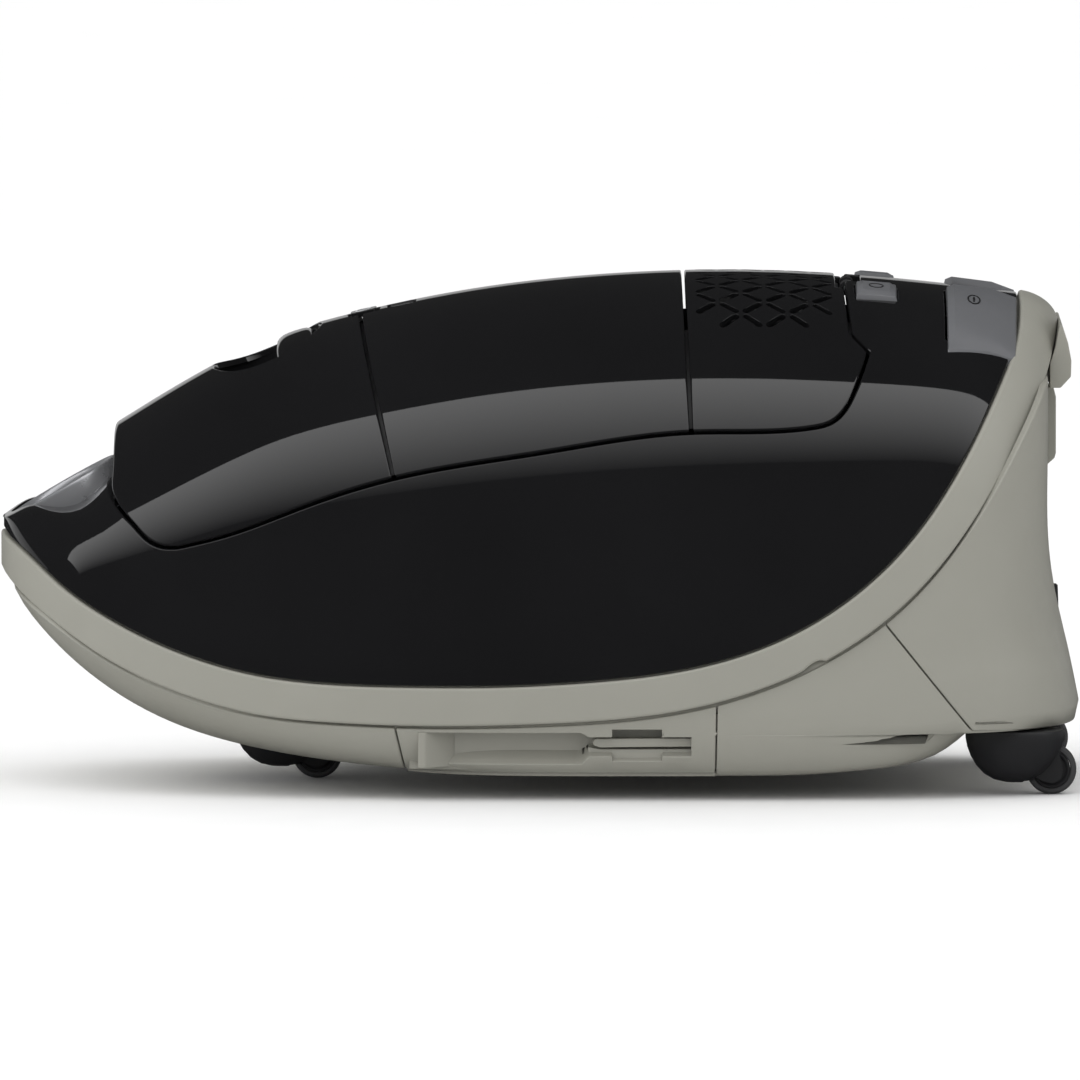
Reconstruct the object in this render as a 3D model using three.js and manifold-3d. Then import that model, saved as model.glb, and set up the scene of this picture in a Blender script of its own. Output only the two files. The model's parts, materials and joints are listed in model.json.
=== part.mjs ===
// Canister vacuum cleaner body: a low egg-shaped shell on a boat-shaped base, with a lid hinged at the rear.
// Millimetres, +X to the rear, +Y to the right-hand side, +Z up. The origin is on the floor below the middle.

import * as THREE from 'three';
import { mergeVertices } from 'three/addons/utils/BufferGeometryUtils.js';
import Module from 'manifold-3d';

const wasm = await Module();
wasm.setup();

// ---------------------------------------------------------------- driving dimensions

const SHELL = 3; // wall thickness of the moulded covers
const SEAM = 1.5; // visible gap between neighbouring covers
const GAP = 0.4; // clearance between pieces that touch
const TURN_GAP = 0.3; // clearance all round a pin or stem that turns in a hole
const COVER_INSET = 1.2; // the gloss covers lie this far inside the bumper's surface
const FRAME_INSET = COVER_INSET + SHELL + GAP; // outer face of the lid's inner frame
const INNER_INSET = FRAME_INSET + SHELL + GAP; // everything inside the lid stays within this

// The egg in plan: two half superellipses that meet at its widest station.
const EGG = {
  centre: 40, front: 290, rear: 200, halfWidth: 150,
  frontPower: 2.4, rearPower: 4, sectionPower: 2.5,
};

// Cross-sections of the egg: station x, top, height of the widest line, bottom.
const EGG_SECTIONS = [
  [-250, 121, 112, 96], [-247, 125, 109, 80], [-240, 130, 101, 62], [-222, 132.5, 86, 32],
  [-209, 140.5, 77, 17], [-201.5, 147.5, 73, 10], [-197.5, 163.5, 71, 8], [-186, 173.3, 65, 0],
  [-160, 188.5, 55, -14], [-125, 205.5, 47, -25], [-84, 217.1, 43, -30], [-30, 228.5, 42, -30],
  [28, 234.8, 45, -30], [88, 236.6, 54, -20], [139, 234.8, 68, 0], [170, 231.8, 76, 17],
  [198, 230, 83, 35], [218, 227.5, 87, 50], [230, 223.8, 89, 60], [237, 219.5, 91, 68], [240, 214, 92, 80],
];

// Level sections of the base: height, foremost x, rearmost x, half width.
const CASTOR_CEILING = 30.5;
const BASE_LEVELS = [
  [11, -50, 130, 132], [13.5, -94, 160, 137], [19, -134, 184, 141.5],
  [CASTOR_CEILING, -174, 199, 146.5], [CASTOR_CEILING, -174, 246, 146.5],
  [34, -182, 250, 147], [50, -207.5, 247.6, 147.5], [72, -231, 243, 146],
  [95, -246, 237.5, 146], [118, -248.5, 234.7, 147], [192, -248.5, 234.7, 147],
];
const BASE_FRONT_POWER = 3.3;

// Side-view curves as [x, z]: the bumper's two edges and the lid's lower and rear seam.
const BUMPER_TOP = [
  [-254, 118], [-241, 110], [-223, 95.6], [-201, 81.7], [-167, 66.7], [-130, 57], [-93, 53.4], [-56, 52.7],
  [-19, 53], [19, 55], [55, 58.8], [93, 67.6], [130, 84.7], [167, 115.4], [195, 154.7], [213, 190],
  [219, 204], [222, 219], [222, 250],
];
const BUMPER_BOTTOM = [
  [-254, 103], [-242, 91], [-223, 76.5], [-201, 62.6], [-167, 48.1], [-130, 38.8], [-93, 35.7], [-56, 34.7],
  [0, 35.9], [46, 39.2], [83, 46.2], [120, 59.6], [158, 82.5], [195, 121.6], [213, 149.5], [224, 169.5],
  [232, 185.6], [237, 200], [240.3, 214.4], [243, 226],
];
const LID_SEAM = [
  [-200.2, 150], [-199, 138], [-187.3, 124], [-181, 118], [-174, 115.2], [-167, 115.2], [-144, 121.4],
  [-112, 133.6], [-67.5, 148], [0, 160], [69, 169.4], [125, 171.6], [134.4, 174.3], [140.4, 180],
  [144.6, 188], [149.3, 199.3], [153, 211],
];
const LID_REAR = [[142.8, 216.6], [139.8, 240], [139.8, 260]];
const LID_FRONT = [[-200.2, 260]];
const FRONT_CROSS_SEAM = [[-93.4, 260], [-65.2, 138]];
const REAR_CROSS_SEAM = [[65.1, 260], [70.8, 140]];
const SKIRT_SEAM = [[119.8, 130], [200, 30]];

const LID_HINGE = { x: 142.2, z: 229, pin: 1.7, knuckle: 3.4, ear: [10, 16], lug: [16.6, 23] };
const FLAP_HINGE = { x: 62, z: 230.8, pin: 1.5, lug: [10, 19], swing: [56, 68.2, 80] };
const PORT = { centre: [-220, 0, 134], axis: [-0.5, 0, Math.sqrt(0.75)], hole: 29, ring: 28.6, bore: 24 };
const CHAMBER = { front: -140, rear: 56, side: 100, floor: 41, wall: 2.5 };
const INTAKE = { height: 82, inner: 21.6, outer: 24 };
const BAG = { x: -42, z: 82, halfLength: 82, halfHeight: 36 };
const EXHAUST = { front: 83, rear: 125, side: 59 };
const MOTOR = { y: -30, z: 100, radius: 50, front: 74.5, split: 130, rear: 185, shaft: 4 };
const REEL = { x: 150, z: 97, flange: 46, hub: 22, axle: 6, inner: 50, outer: 88 };
const CASTOR = {
  drum: 23, trail: 16.6, wheel: 11.6, hub: 8.6, halfWidth: 5.8,
  axle: 2, stem: 5, stemTop: 38.5, boss: 10, well: 33, wellWall: 36,
};
const CASTOR_PLACES = { left: [219, -95], right: [219, 95], front: [-120, 0] };
const PARKING = { depth: 133, notchDepth: 136, tray: [-53, 19], slot: [18, 70], notch: [33, 56] };
const REAR_SOCKET = { half: 14, bottom: 146, top: 183, slotHalf: 6 };
const GRIP_CAP_HALF = 50;
const OUTLET = { y: 62, z: 72, bore: 6, neck: 10, lip: 14, face: 243.4 };
const HANDLE = { front: -151.5, barFront: -123, rear: -102.5, side: 52, bar: 8.3 };
const TRAY = { front: -57, rear: 55, side: 72, floor: 178, wall: 2.5 };
const TOOL = { height: 195.5, rear: 50, front: -50, socket: 14, wall: 1.6 };

// ---------------------------------------------------------------- materials

function finish(color, roughness, metalness = 0) {
  return new THREE.MeshStandardMaterial({ color, roughness, metalness });
}

const materials = {
  stone: finish(0x8f8e85, 0.5),
  panel: finish(0x75736f, 0.55),
  gloss: finish(0x0d0d0e, 0.08),
  black: finish(0x1b1b1c, 0.45),
  grey: finish(0x5f6063, 0.4),
  silver: finish(0x8b8c8e, 0.35, 0.3),
  inner: finish(0x3a3b3d, 0.55),
  rubber: finish(0x161616, 0.8),
  tyre: finish(0x3b3b3c, 0.75),
  bag: finish(0xd9d3c4, 0.95),
  filter: finish(0xe4e4df, 0.9),
  steel: finish(0xa8abad, 0.3, 1),
  copper: finish(0x9c5a3c, 0.4, 0.8),
  board: finish(0x1f5a3a, 0.5),
  lens: finish(0x2a2d30, 0.1),
};

// ---------------------------------------------------------------- solids

// A closed three.js geometry as a solid that can be joined and cut.
function solid(geometry) {
  const loose = geometry.index ? geometry.toNonIndexed() : geometry;
  const bare = new THREE.BufferGeometry().setAttribute('position', loose.getAttribute('position'));
  const merged = mergeVertices(bare, 1e-4);
  const corners = merged.index.array;
  const triVerts = [];
  for (let i = 0; i < corners.length; i += 3) {
    const [a, b, c] = corners.slice(i, i + 3);
    if (a !== b && b !== c && c !== a) triVerts.push(a, b, c);
  }
  const vertProperties = merged.getAttribute('position').array;
  const mesh = new wasm.Mesh({ numProp: 3, vertProperties, triVerts: new Uint32Array(triVerts) });
  return new wasm.Manifold(mesh);
}

function geometryOf(part) {
  const mesh = part.getMesh();
  const geometry = new THREE.BufferGeometry();
  geometry.setAttribute('position', new THREE.BufferAttribute(new Float32Array(mesh.vertProperties), 3));
  geometry.setIndex(new THREE.BufferAttribute(new Uint32Array(mesh.triVerts), 1));
  geometry.computeVertexNormals();
  return geometry;
}

const join = (...parts) => parts.reduce((whole, part) => whole.add(part));
const cut = (part, ...tools) => tools.reduce((rest, tool) => rest.subtract(tool), part);

// A skin through equal rings of points, closed at both ends by a fan when capped.
function loft(rings, capped) {
  const count = rings[0].length;
  const positions = rings.flat(2);
  const index = [];
  for (let i = 0; i + 1 < rings.length; i += 1) {
    for (let j = 0; j < count; j += 1) {
      const a = i * count + j;
      const b = i * count + ((j + 1) % count);
      index.push(a, b, a + count, b, b + count, a + count);
    }
  }
  const capEnd = (ring, flip) => {
    const base = ring * count;
    const middle = positions.length / 3;
    const sum = rings[ring].reduce((total, point) => total.map((value, k) => value + point[k]), [0, 0, 0]);
    positions.push(...sum.map((value) => value / count));
    for (let j = 0; j < count; j += 1) {
      const next = base + ((j + 1) % count);
      index.push(middle, flip ? next : base + j, flip ? base + j : next);
    }
  };
  if (capped) {
    capEnd(0, true);
    capEnd(rings.length - 1, false);
  }
  const geometry = new THREE.BufferGeometry();
  geometry.setAttribute('position', new THREE.Float32BufferAttribute(positions, 3));
  geometry.setIndex(index);
  return solid(geometry);
}

const bulge = (value, power) => Math.sign(value) * Math.abs(value) ** (2 / power);

// An outline swept straight along an axis. Outlines are [x, y] for z, [x, z] for y and [y, z] for x.
function prism(outline, axis, from, to) {
  const drawn = outline instanceof THREE.Shape;
  const shape = drawn ? outline : new THREE.Shape(outline.map(([u, v]) => new THREE.Vector2(u, v)));
  const depth = to - from;
  const geometry = new THREE.ExtrudeGeometry(shape, { depth, bevelEnabled: false, curveSegments: 3 });
  if (axis === 'z') geometry.translate(0, 0, from);
  if (axis === 'y') geometry.rotateX(Math.PI / 2).translate(0, to, 0);
  if (axis === 'x') geometry.rotateX(Math.PI / 2).rotateZ(Math.PI / 2).translate(from, 0, 0);
  return solid(geometry);
}

function box(x0, x1, y0, y1, z0, z1) {
  const geometry = new THREE.BoxGeometry(x1 - x0, y1 - y0, z1 - z0);
  return solid(geometry.translate((x0 + x1) / 2, (y0 + y1) / 2, (z0 + z1) / 2));
}

// A rounded rectangle in plan, upright from z0 to z1.
function roundedBlock(x0, x1, halfY, radius, z0 = 0, z1 = 300) {
  const shape = new THREE.Shape();
  const points = [[x0, -halfY], [x1, -halfY], [x1, halfY], [x0, halfY]];
  const turns = [Math.PI, -Math.PI / 2, 0, Math.PI / 2];
  points.forEach(([x, y], k) => {
    const cx = x + (x === x0 ? radius : -radius);
    const cy = y + (y < 0 ? radius : -radius);
    shape.absarc(cx, cy, radius, turns[k], turns[k] + Math.PI / 2);
  });
  return prism(shape, 'z', z0, z1);
}

// A solid of revolution: [radius, height] points turned about an axis through a place.
function turned(profile, { axis = 'z', at = [0, 0, 0], segments = 18 } = {}) {
  const geometry = new THREE.LatheGeometry(profile.map(([r, h]) => new THREE.Vector2(r, h)), segments);
  if (axis === 'z') geometry.rotateX(Math.PI / 2);
  if (axis === 'x') geometry.rotateZ(-Math.PI / 2);
  if (Array.isArray(axis)) {
    const lathe = new THREE.Vector3(0, 1, 0);
    geometry.applyQuaternion(new THREE.Quaternion().setFromUnitVectors(lathe, new THREE.Vector3(...axis)));
  }
  return solid(geometry.translate(...at));
}

const rod = (radius, from, to, place) => turned([[0, from], [radius, from], [radius, to], [0, to]], place);
const tube = (inner, outer, from, to, place) =>
  turned([[inner, from], [outer, from], [outer, to], [inner, to], [inner, from]], place);

// ---------------------------------------------------------------- curves

// A polyline moved sideways: positive distances lie to the left of its direction.
function offset(line, distance) {
  return line.map(([x, z], i) => {
    const [ax, az] = line[Math.max(i - 1, 0)];
    const [bx, bz] = line[Math.min(i + 1, line.length - 1)];
    const length = Math.hypot(bx - ax, bz - az);
    return [x - ((bz - az) / length) * distance, z + ((bx - ax) / length) * distance];
  });
}

const sideSlab = (outline, side = 200) => prism(outline, 'y', -side, side);
const between = (lower, upper) => sideSlab([...lower, ...[...upper].reverse()]);

// ---------------------------------------------------------------- the two main bodies

function egg(inset) {
  const steps = 24;
  const rings = EGG_SECTIONS.map(([x, top, middle, bottom]) => {
    const forward = x < EGG.centre;
    const reach = forward ? EGG.front : EGG.rear;
    const power = forward ? EGG.frontPower : EGG.rearPower;
    const shrink = (reach - inset) / reach;
    const spread = (1 - Math.min(1, Math.abs(x - EGG.centre) / reach) ** power) ** (1 / power);
    const width = (EGG.halfWidth - inset) * spread;
    const rise = Math.max(top - inset - middle, 1);
    const drop = Math.max(middle - bottom - inset, 1);
    return Array.from({ length: steps }, (_, k) => {
      const angle = (2 * Math.PI * k) / steps;
      const across = bulge(Math.cos(angle), EGG.sectionPower);
      const up = bulge(Math.sin(angle), EGG.sectionPower);
      return [EGG.centre + (x - EGG.centre) * shrink, width * across, middle + up * (up > 0 ? rise : drop)];
    });
  });
  return loft(rings, false);
}

const skin = (inset, thickness) => egg(inset).subtract(egg(inset + thickness));

function hull(inset) {
  const steps = 32;
  const rings = BASE_LEVELS.map(([z, front, rear, half]) =>
    Array.from({ length: steps }, (_, k) => {
      const angle = (2 * Math.PI * k) / steps;
      const rearward = Math.cos(angle) > 0;
      const power = rearward ? EGG.rearPower : BASE_FRONT_POWER;
      const reach = (rearward ? rear - EGG.centre : EGG.centre - front) - inset;
      const x = EGG.centre + reach * bulge(Math.cos(angle), power);
      return [x, (half - inset) * bulge(Math.sin(angle), power), z + inset];
    }));
  return loft(rings, true);
}

const lidOutline = (grow) => [
  ...LID_FRONT.map(([x, z]) => [x - grow, z]),
  ...offset(LID_SEAM, -grow),
  ...LID_REAR.map(([x, z]) => [x + grow, z < 220 ? z + grow : z]),
];
const lidBlock = (grow = -SEAM / 2) => sideSlab(lidOutline(grow));

// ---------------------------------------------------------------- lower shells

const underBumper = sideSlab([
  ...offset(BUMPER_BOTTOM, -0.8), [270, 226], [270, -10], [-270, -10], [-270, 103],
]);
const hullShell = () => hull(0).subtract(hull(SHELL)).intersect(underBumper);

const behindSkirtSeam = (shift) => {
  const [[x0, z0], [x1, z1]] = SKIRT_SEAM;
  return sideSlab([
    [x0 + shift, z0], [x1 + shift, z1], [x1 + shift, -20], [280, -20], [280, 240], [x0 + shift, 240],
  ]);
};

function castorBoss([x, y]) {
  return rod(CASTOR.boss, CASTOR_CEILING + 1, CASTOR.stemTop + 1.2, { at: [x, y, 0] });
}

const castorStemHole = ([x, y]) => rod(CASTOR.stem + TURN_GAP, 0, CASTOR.stemTop + GAP, { at: [x, y, 0] });

const PANEL = { front: [[-68, 40], [-59, 0]], rear: [[81.5, 60], [80.5, 0]], reach: 100 };
const panelBlock = (shift) => sideSlab([
  [PANEL.front[0][0] - shift, 40], [PANEL.front[1][0] - shift, 0],
  [PANEL.rear[1][0] + shift, 0], [PANEL.rear[0][0] + shift, 60], [-68 - shift, 60],
]);
const beside = (side, reach) => {
  const block = box(-300, 300, reach, 200, -10, 300);
  return side < 0 ? block.mirror([0, 1, 0]) : block;
};

function basePan() {
  const well = { at: [...CASTOR_PLACES.front, 0] };
  const shell = hullShell().subtract(behindSkirtSeam(-SEAM / 2));
  const housing = rod(CASTOR.wellWall, 12, 35, well).intersect(hull(1));
  const panels = [-1, 1].map((side) => panelBlock(0.3).intersect(beside(side, PANEL.reach - 0.3)));
  const whole = join(shell, housing, castorBoss(CASTOR_PLACES.front));
  const hollow = rod(CASTOR.well, -5, CASTOR_CEILING + 1, well);
  return cut(whole, hollow, castorStemHole(CASTOR_PLACES.front), ...panels);
}

function rearSkirt() {
  const shell = hullShell().intersect(behindSkirtSeam(SEAM / 2));
  const bosses = [CASTOR_PLACES.left, CASTOR_PLACES.right];
  const whole = join(shell, ...bosses.map(castorBoss));
  const outlet = rod(OUTLET.neck + TURN_GAP, 200, 270, { axis: 'x', at: [0, OUTLET.y, OUTLET.z] });
  const socket = box(225, 250, -9, 9, 150, 178);
  return cut(whole, ...bosses.map(castorStemHole), outlet, socket);
}

// Side panel with the parking recess: a shallow tray at the front and a narrower slot behind it.
function parkingPanel(side) {
  const reach = (from, to) => (side < 0 ? [-to, -from] : [from, to]);
  const pocket = box(-56, 74, ...reach(128, 150), 12.5, 33);
  const tray = box(...PARKING.tray, ...reach(PARKING.depth, 160), 15, 30.5);
  const slot = box(...PARKING.slot, ...reach(PARKING.depth, 160), 19.3, 28.3);
  const notches = box(...PARKING.notch, ...reach(PARKING.notchDepth, 160), 17, 30.5);
  const hollow = hull(SHELL).subtract(pocket);
  const slab = panelBlock(-0.2).intersect(beside(side, PANEL.reach));
  const block = hull(0).intersect(underBumper).intersect(slab);
  return cut(block, hollow, tray, slot, notches);
}

function bumperBand() {
  return skin(0, 3.5).intersect(between(offset(BUMPER_BOTTOM, 0.3), offset(BUMPER_TOP, -0.3)));
}

function rearGripCap() {
  const outline = [
    [235.3, 184], [235.3, 193], [226, 204], [226, 214], [241.5, 214.5],
    [244.5, 205], [246, 197], [246, 189.5], [241, 184],
  ];
  const band = egg(-GAP).intersect(between(offset(BUMPER_BOTTOM, -GAP), [[-254, 260], [243, 260]]));
  return cut(sideSlab(outline, GRIP_CAP_HALF), band);
}

function rearParkingSocket() {
  const { half, bottom, top, slotHalf } = REAR_SOCKET;
  const frame = box(235.2, 239.3, -half, half, bottom, top);
  return cut(frame, box(230, 245, -slotHalf, slotHalf, bottom + 6, top - 7));
}

// ---------------------------------------------------------------- upper housing and controls

const pedalOutline = (grow) => [
  [187.5 - grow, 28 - grow], [221 + grow * 0.5, 28 - grow], [220.5 + grow * 0.5, 78],
  [219 + grow * 0.5, 82 + grow], [187.5 - grow, 92.5 + grow],
];
const mirrored = (outline, side) => (side < 0 ? outline.map(([x, y]) => [x, -y]).reverse() : outline);
const keyOutline = (grow) => [
  [146 - grow, 35 - grow], [165 + grow, 37 - grow], [165 + grow, 57 + grow], [146 - grow, 59 + grow],
];
const planBlock = (outline, side) => prism(mirrored(outline, side), 'z', 120, 300);

const aboveBumper = (shift) => sideSlab([
  ...offset(BUMPER_TOP, shift), [222 - shift, 260], [-270, 260], [-270, 118],
]);
const hingePocket = (x) => box(x, 147, -24, 24, 222, 240);
const atPort = { axis: PORT.axis, at: PORT.centre, segments: 24 };

function upperHousing() {
  const inner = egg(COVER_INSET + SHELL - 0.2);
  const flange = between(offset(LID_SEAM, -9), offset(LID_SEAM, -6)).intersect(inner);
  const shell = skin(COVER_INSET, SHELL).intersect(aboveBumper(0.4)).subtract(lidBlock(SEAM / 2));
  const belowSeam = [...offset(LID_SEAM, -3), [200, 0], [-300, 0]];
  const openings = [
    rod(PORT.hole, -60, 40, atPort),
    box(CHAMBER.front + 3, CHAMBER.rear - 3, -97, 97, 100, 200),
    box(84, 124, -55, 55, 150, 180),
    hingePocket(140),
    box(-215, CHAMBER.front - 2, -27, 27, 60, 160).intersect(sideSlab(belowSeam)),
  ];
  const controls = [-1, 1].flatMap((side) => [
    planBlock(pedalOutline(0.8), side), planBlock(keyOutline(0.6), side),
  ]);
  return cut(join(shell, flange), ...openings, ...controls);
}

function footPedal(side) {
  const outline = planBlock(pedalOutline(0), side);
  return skin(-0.4, 9).intersect(outline).intersect(aboveBumper(1.2));
}
const powerKey = (side) => skin(-0.6, 5).intersect(planBlock(keyOutline(0), side));

const onHinge = (segments = 12) => ({ axis: 'y', at: [LID_HINGE.x, 0, LID_HINGE.z], segments });
const bothSides = ([from, to], make) => [make(from, to), make(-to, -from)];

function hingeBracket() {
  const { x, z, pin, knuckle, ear } = LID_HINGE;
  const ears = bothSides(ear, (from, to) => {
    const foot = box(x, 150, from, to, z - 3.3, z - 1.6);
    return join(rod(knuckle, from, to, onHinge()), foot);
  });
  return join(box(148, 156, -30, 30, 213, 226), ...ears).subtract(rod(pin + TURN_GAP, -60, 60, onHinge()));
}

const hingePin = () => rod(LID_HINGE.pin, -24, 24, onHinge());

// ---------------------------------------------------------------- intake and dust chamber

const hosePortRing = () => tube(PORT.bore, PORT.ring, -14, 0.6, atPort);
const hosePortSeal = () => tube(PORT.bore - 2, PORT.ring - 1, -17.5, -14.4, atPort);

function intakeDuct() {
  const [x, , z] = PORT.centre;
  const [ax, , az] = PORT.axis;
  const along = (depth) => new THREE.Vector3(x - ax * depth, 0, z - az * depth);
  const bend = new THREE.Vector3(CHAMBER.front - 34, 0, INTAKE.height);
  const sweep = (radius, stretch) => {
    const end = new THREE.Vector3(CHAMBER.front - GAP + stretch, 0, INTAKE.height);
    const extrudePath = new THREE.CubicBezierCurve3(along(18 - stretch), along(44), bend, end);
    const ring = new THREE.Shape().absarc(0, 0, radius, 0, 2 * Math.PI);
    return solid(new THREE.ExtrudeGeometry(ring, { steps: 6, extrudePath, curveSegments: 8 }));
  };
  return sweep(INTAKE.outer, 0).subtract(sweep(INTAKE.inner, 1));
}

function dustChamber() {
  const { front, rear, side, floor, wall } = CHAMBER;
  const lid = [...offset(LID_SEAM, -9.4), [200, 200], [200, 0], [-260, 0]];
  const tub = box(front, rear, -side, side, floor, 220).intersect(sideSlab(lid));
  const hollow = box(front + wall, rear - wall, -side + wall, side - wall, floor + wall, 260);
  const inlet = rod(INTAKE.inner, front - 5, front + 5, { axis: 'x', at: [0, 0, INTAKE.height] });
  return cut(tub, hollow, inlet, box(rear - 6, rear + 6, -75, 15, 58, 142));
}

function bagHolder() {
  const plate = cornerlessPlate(-134, -130, 40, 58, 126);
  return plate.subtract(rod(20, -140, -120, { axis: 'x', at: [0, 0, INTAKE.height] }));
}

// An upright plate across the body with its four corners taken off.
function cornerlessPlate(x0, x1, half, z0, z1) {
  const corner = 8;
  const low = [[-half, z0 + corner], [-half + corner, z0], [half - corner, z0], [half, z0 + corner]];
  const high = [[half, z1 - corner], [half - corner, z1], [-half + corner, z1], [-half, z1 - corner]];
  return prism([...low, ...high], 'x', x0, x1);
}

function dustBag() {
  const { x, z, halfLength, halfHeight } = BAG;
  const pillow = new THREE.SphereGeometry(1, 14, 8).scale(halfLength, halfLength, halfHeight);
  return solid(pillow.translate(x, 0, z));
}

// ---------------------------------------------------------------- motor

const onMotor = (segments = 20) => ({ axis: 'x', at: [0, MOTOR.y, MOTOR.z], segments });
const motorMount = (from) => tube(34, 44, from, from + 5, onMotor(24));

function motorHousingFront() {
  const { radius, front, split } = MOTOR;
  return turned([
    [30, front], [radius, front], [radius, split], [radius - SHELL, split],
    [radius - SHELL, front + 3], [30, front + 3], [30, front],
  ], onMotor());
}

function motorHousingRear() {
  const { radius, split, rear, shaft, y, z } = MOTOR;
  const start = split + GAP;
  const can = turned([
    [radius - SHELL, start], [radius, start], [radius, rear], [shaft + 0.5, rear],
    [shaft + 0.5, rear - 4], [radius - SHELL, rear - 4], [radius - SHELL, start],
  ], onMotor());
  const vents = Array.from({ length: 6 }, (_, k) => {
    const angle = (k * Math.PI) / 3;
    const at = [0, y + 30 * Math.cos(angle), z + 30 * Math.sin(angle)];
    return rod(7, rear - 10, rear + 5, { axis: 'x', at, segments: 8 });
  });
  return cut(can, ...vents);
}

const motorStator = () => tube(27, 40, 136, 168, onMotor());

function motorRotor() {
  const { shaft } = MOTOR;
  return turned([
    [0, 86], [shaft, 86], [shaft, 138], [24, 138], [24, 166], [shaft, 166], [shaft, 184], [0, 184],
  ], onMotor());
}

function fanImpeller() {
  const { y, z, shaft } = MOTOR;
  const disc = tube(shaft + TURN_GAP, 42, 104, 106, onMotor());
  const hub = tube(shaft + TURN_GAP, 9, 90, 105, onMotor(16));
  const blades = Array.from({ length: 7 }, (_, k) => {
    const blade = new THREE.BoxGeometry(13, 34, 1.6).translate(98.5, 24.5, 0).rotateX((k * 2 * Math.PI) / 7);
    return solid(blade.translate(0, y, z));
  });
  return join(disc, hub, ...blades);
}

function motorFilter() {
  return box(57.5, 67, -80, 20, 52, 148);
}

// ---------------------------------------------------------------- cord reel and electronics

const onReel = (segments = 20) => ({ axis: 'y', at: [REEL.x, 0, REEL.z], segments });

function reelBracket() {
  const plate = box(106, 196, 28, 31, 50, 145);
  return join(plate, rod(REEL.axle, 30, 93, onReel(16)));
}

function reelSpringCase() {
  return tube(REEL.axle + TURN_GAP, 30, 33, 47, onReel());
}

function cordDrum() {
  const { axle, hub, flange, inner, outer } = REEL;
  const bore = axle + TURN_GAP;
  return turned([
    [bore, inner], [flange, inner], [flange, inner + 2.5], [hub, inner + 2.5], [hub, outer - 2.5],
    [flange, outer - 2.5], [flange, outer], [bore, outer], [bore, inner],
  ], onReel());
}

function controlBoard() {
  const plate = box(165, 212, -26, 26, 203.4, 205.2);
  const capacitor = box(186, 200, 4, 20, 205, 214);
  return join(plate, capacitor, box(170, 182, -20, -8, 205, 211), box(190, 206, -20, -8, 205, 209));
}

function cordOutlet() {
  const { bore, neck, lip, face, y, z } = OUTLET;
  const place = { axis: 'x', at: [0, y, z] };
  const back = face + 2.2;
  const sleeve = [
    [bore, 228], [neck, 228], [neck, face], [lip, face], [lip, back], [bore, back], [bore, 228],
  ];
  return turned(sleeve, place).subtract(hull(-GAP).subtract(rod(neck + 0.1, 200, 270, place)));
}

// ---------------------------------------------------------------- lid

function handleHole(grow) {
  return roundedBlock(HANDLE.front - grow, HANDLE.rear + grow, HANDLE.side + grow, 12 + grow);
}
const ahead = ([[x0, z0], [x1, z1]], shift) => sideSlab([
  [x0 + shift, z0], [x1 + shift, z1], [x1 + shift, 90], [-270, 90], [-270, z0],
]);
const behind = ([[x0, z0], [x1, z1]], shift) => sideSlab([
  [x0 + shift, z0], [x1 + shift, z1], [x1 + shift, 90], [270, 90], [270, z0],
]);
const lidSkin = () => skin(COVER_INSET, SHELL).intersect(lidBlock());

const BUTTON = { x: -82, half: [6.5, 9.5], corner: 3, stem: 2.2 };
function buttonBlock(grow) {
  const [hx, hy] = BUTTON.half.map((value) => value + grow);
  const c = BUTTON.corner;
  const right = [[hx - c, -hy], [hx, -hy + c], [hx, hy - c], [hx - c, hy]];
  const left = [[-hx + c, hy], [-hx, hy - c], [-hx, -hy + c], [-hx + c, -hy]];
  return prism([...right, ...left].map(([x, y]) => [BUTTON.x + x, y]), 'z', 150, 300);
}
const buttonStem = (radius, from, to) => rod(radius, from, to, { at: [BUTTON.x, 0, 0], segments: 12 });

const portClearance = () => rod(PORT.ring + 1, -50, 2, atPort);

function lidFrontCover() {
  const panel = lidSkin().intersect(ahead(FRONT_CROSS_SEAM, -SEAM / 2));
  return cut(panel, handleHole(0), buttonBlock(0.6), portClearance());
}

function accessoryFlap() {
  const rearPart = lidSkin().intersect(behind(FRONT_CROSS_SEAM, SEAM / 2));
  const panel = rearPart.intersect(ahead(REAR_CROSS_SEAM, -SEAM / 2));
  const { x, z, pin, lug } = FLAP_HINGE;
  const place = { axis: 'y', at: [x, 0, z], segments: 12 };
  const lugs = bothSides(lug, (from, to) => {
    const knuckle = rod(2.6, from, to, place);
    return join(rod(pin, from - 3, to + 3, place), knuckle);
  });
  return cut(join(panel, ...lugs), buttonBlock(0.6), lensBlock(0.3));
}

function lensBlock(grow) {
  return roundedBlock(-70 - grow, -59 + grow, 9 + grow, 3);
}

// Crossing slanted slots in rows, as in a diamond lattice.
function exhaustGrille() {
  const panel = lidSkin().intersect(behind(REAR_CROSS_SEAM, SEAM / 2));
  const slots = [];
  for (const y of [-60, -36, -12, 12, 36, 60]) {
    for (const x of [82, 104, 126]) {
      const slot = new THREE.BoxGeometry(15, 3, 60).rotateZ(Math.PI / 4).translate(x - 2, y, 230);
      slots.push(solid(slot));
    }
  }
  return cut(panel, hingePocket(138), ...slots);
}

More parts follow.
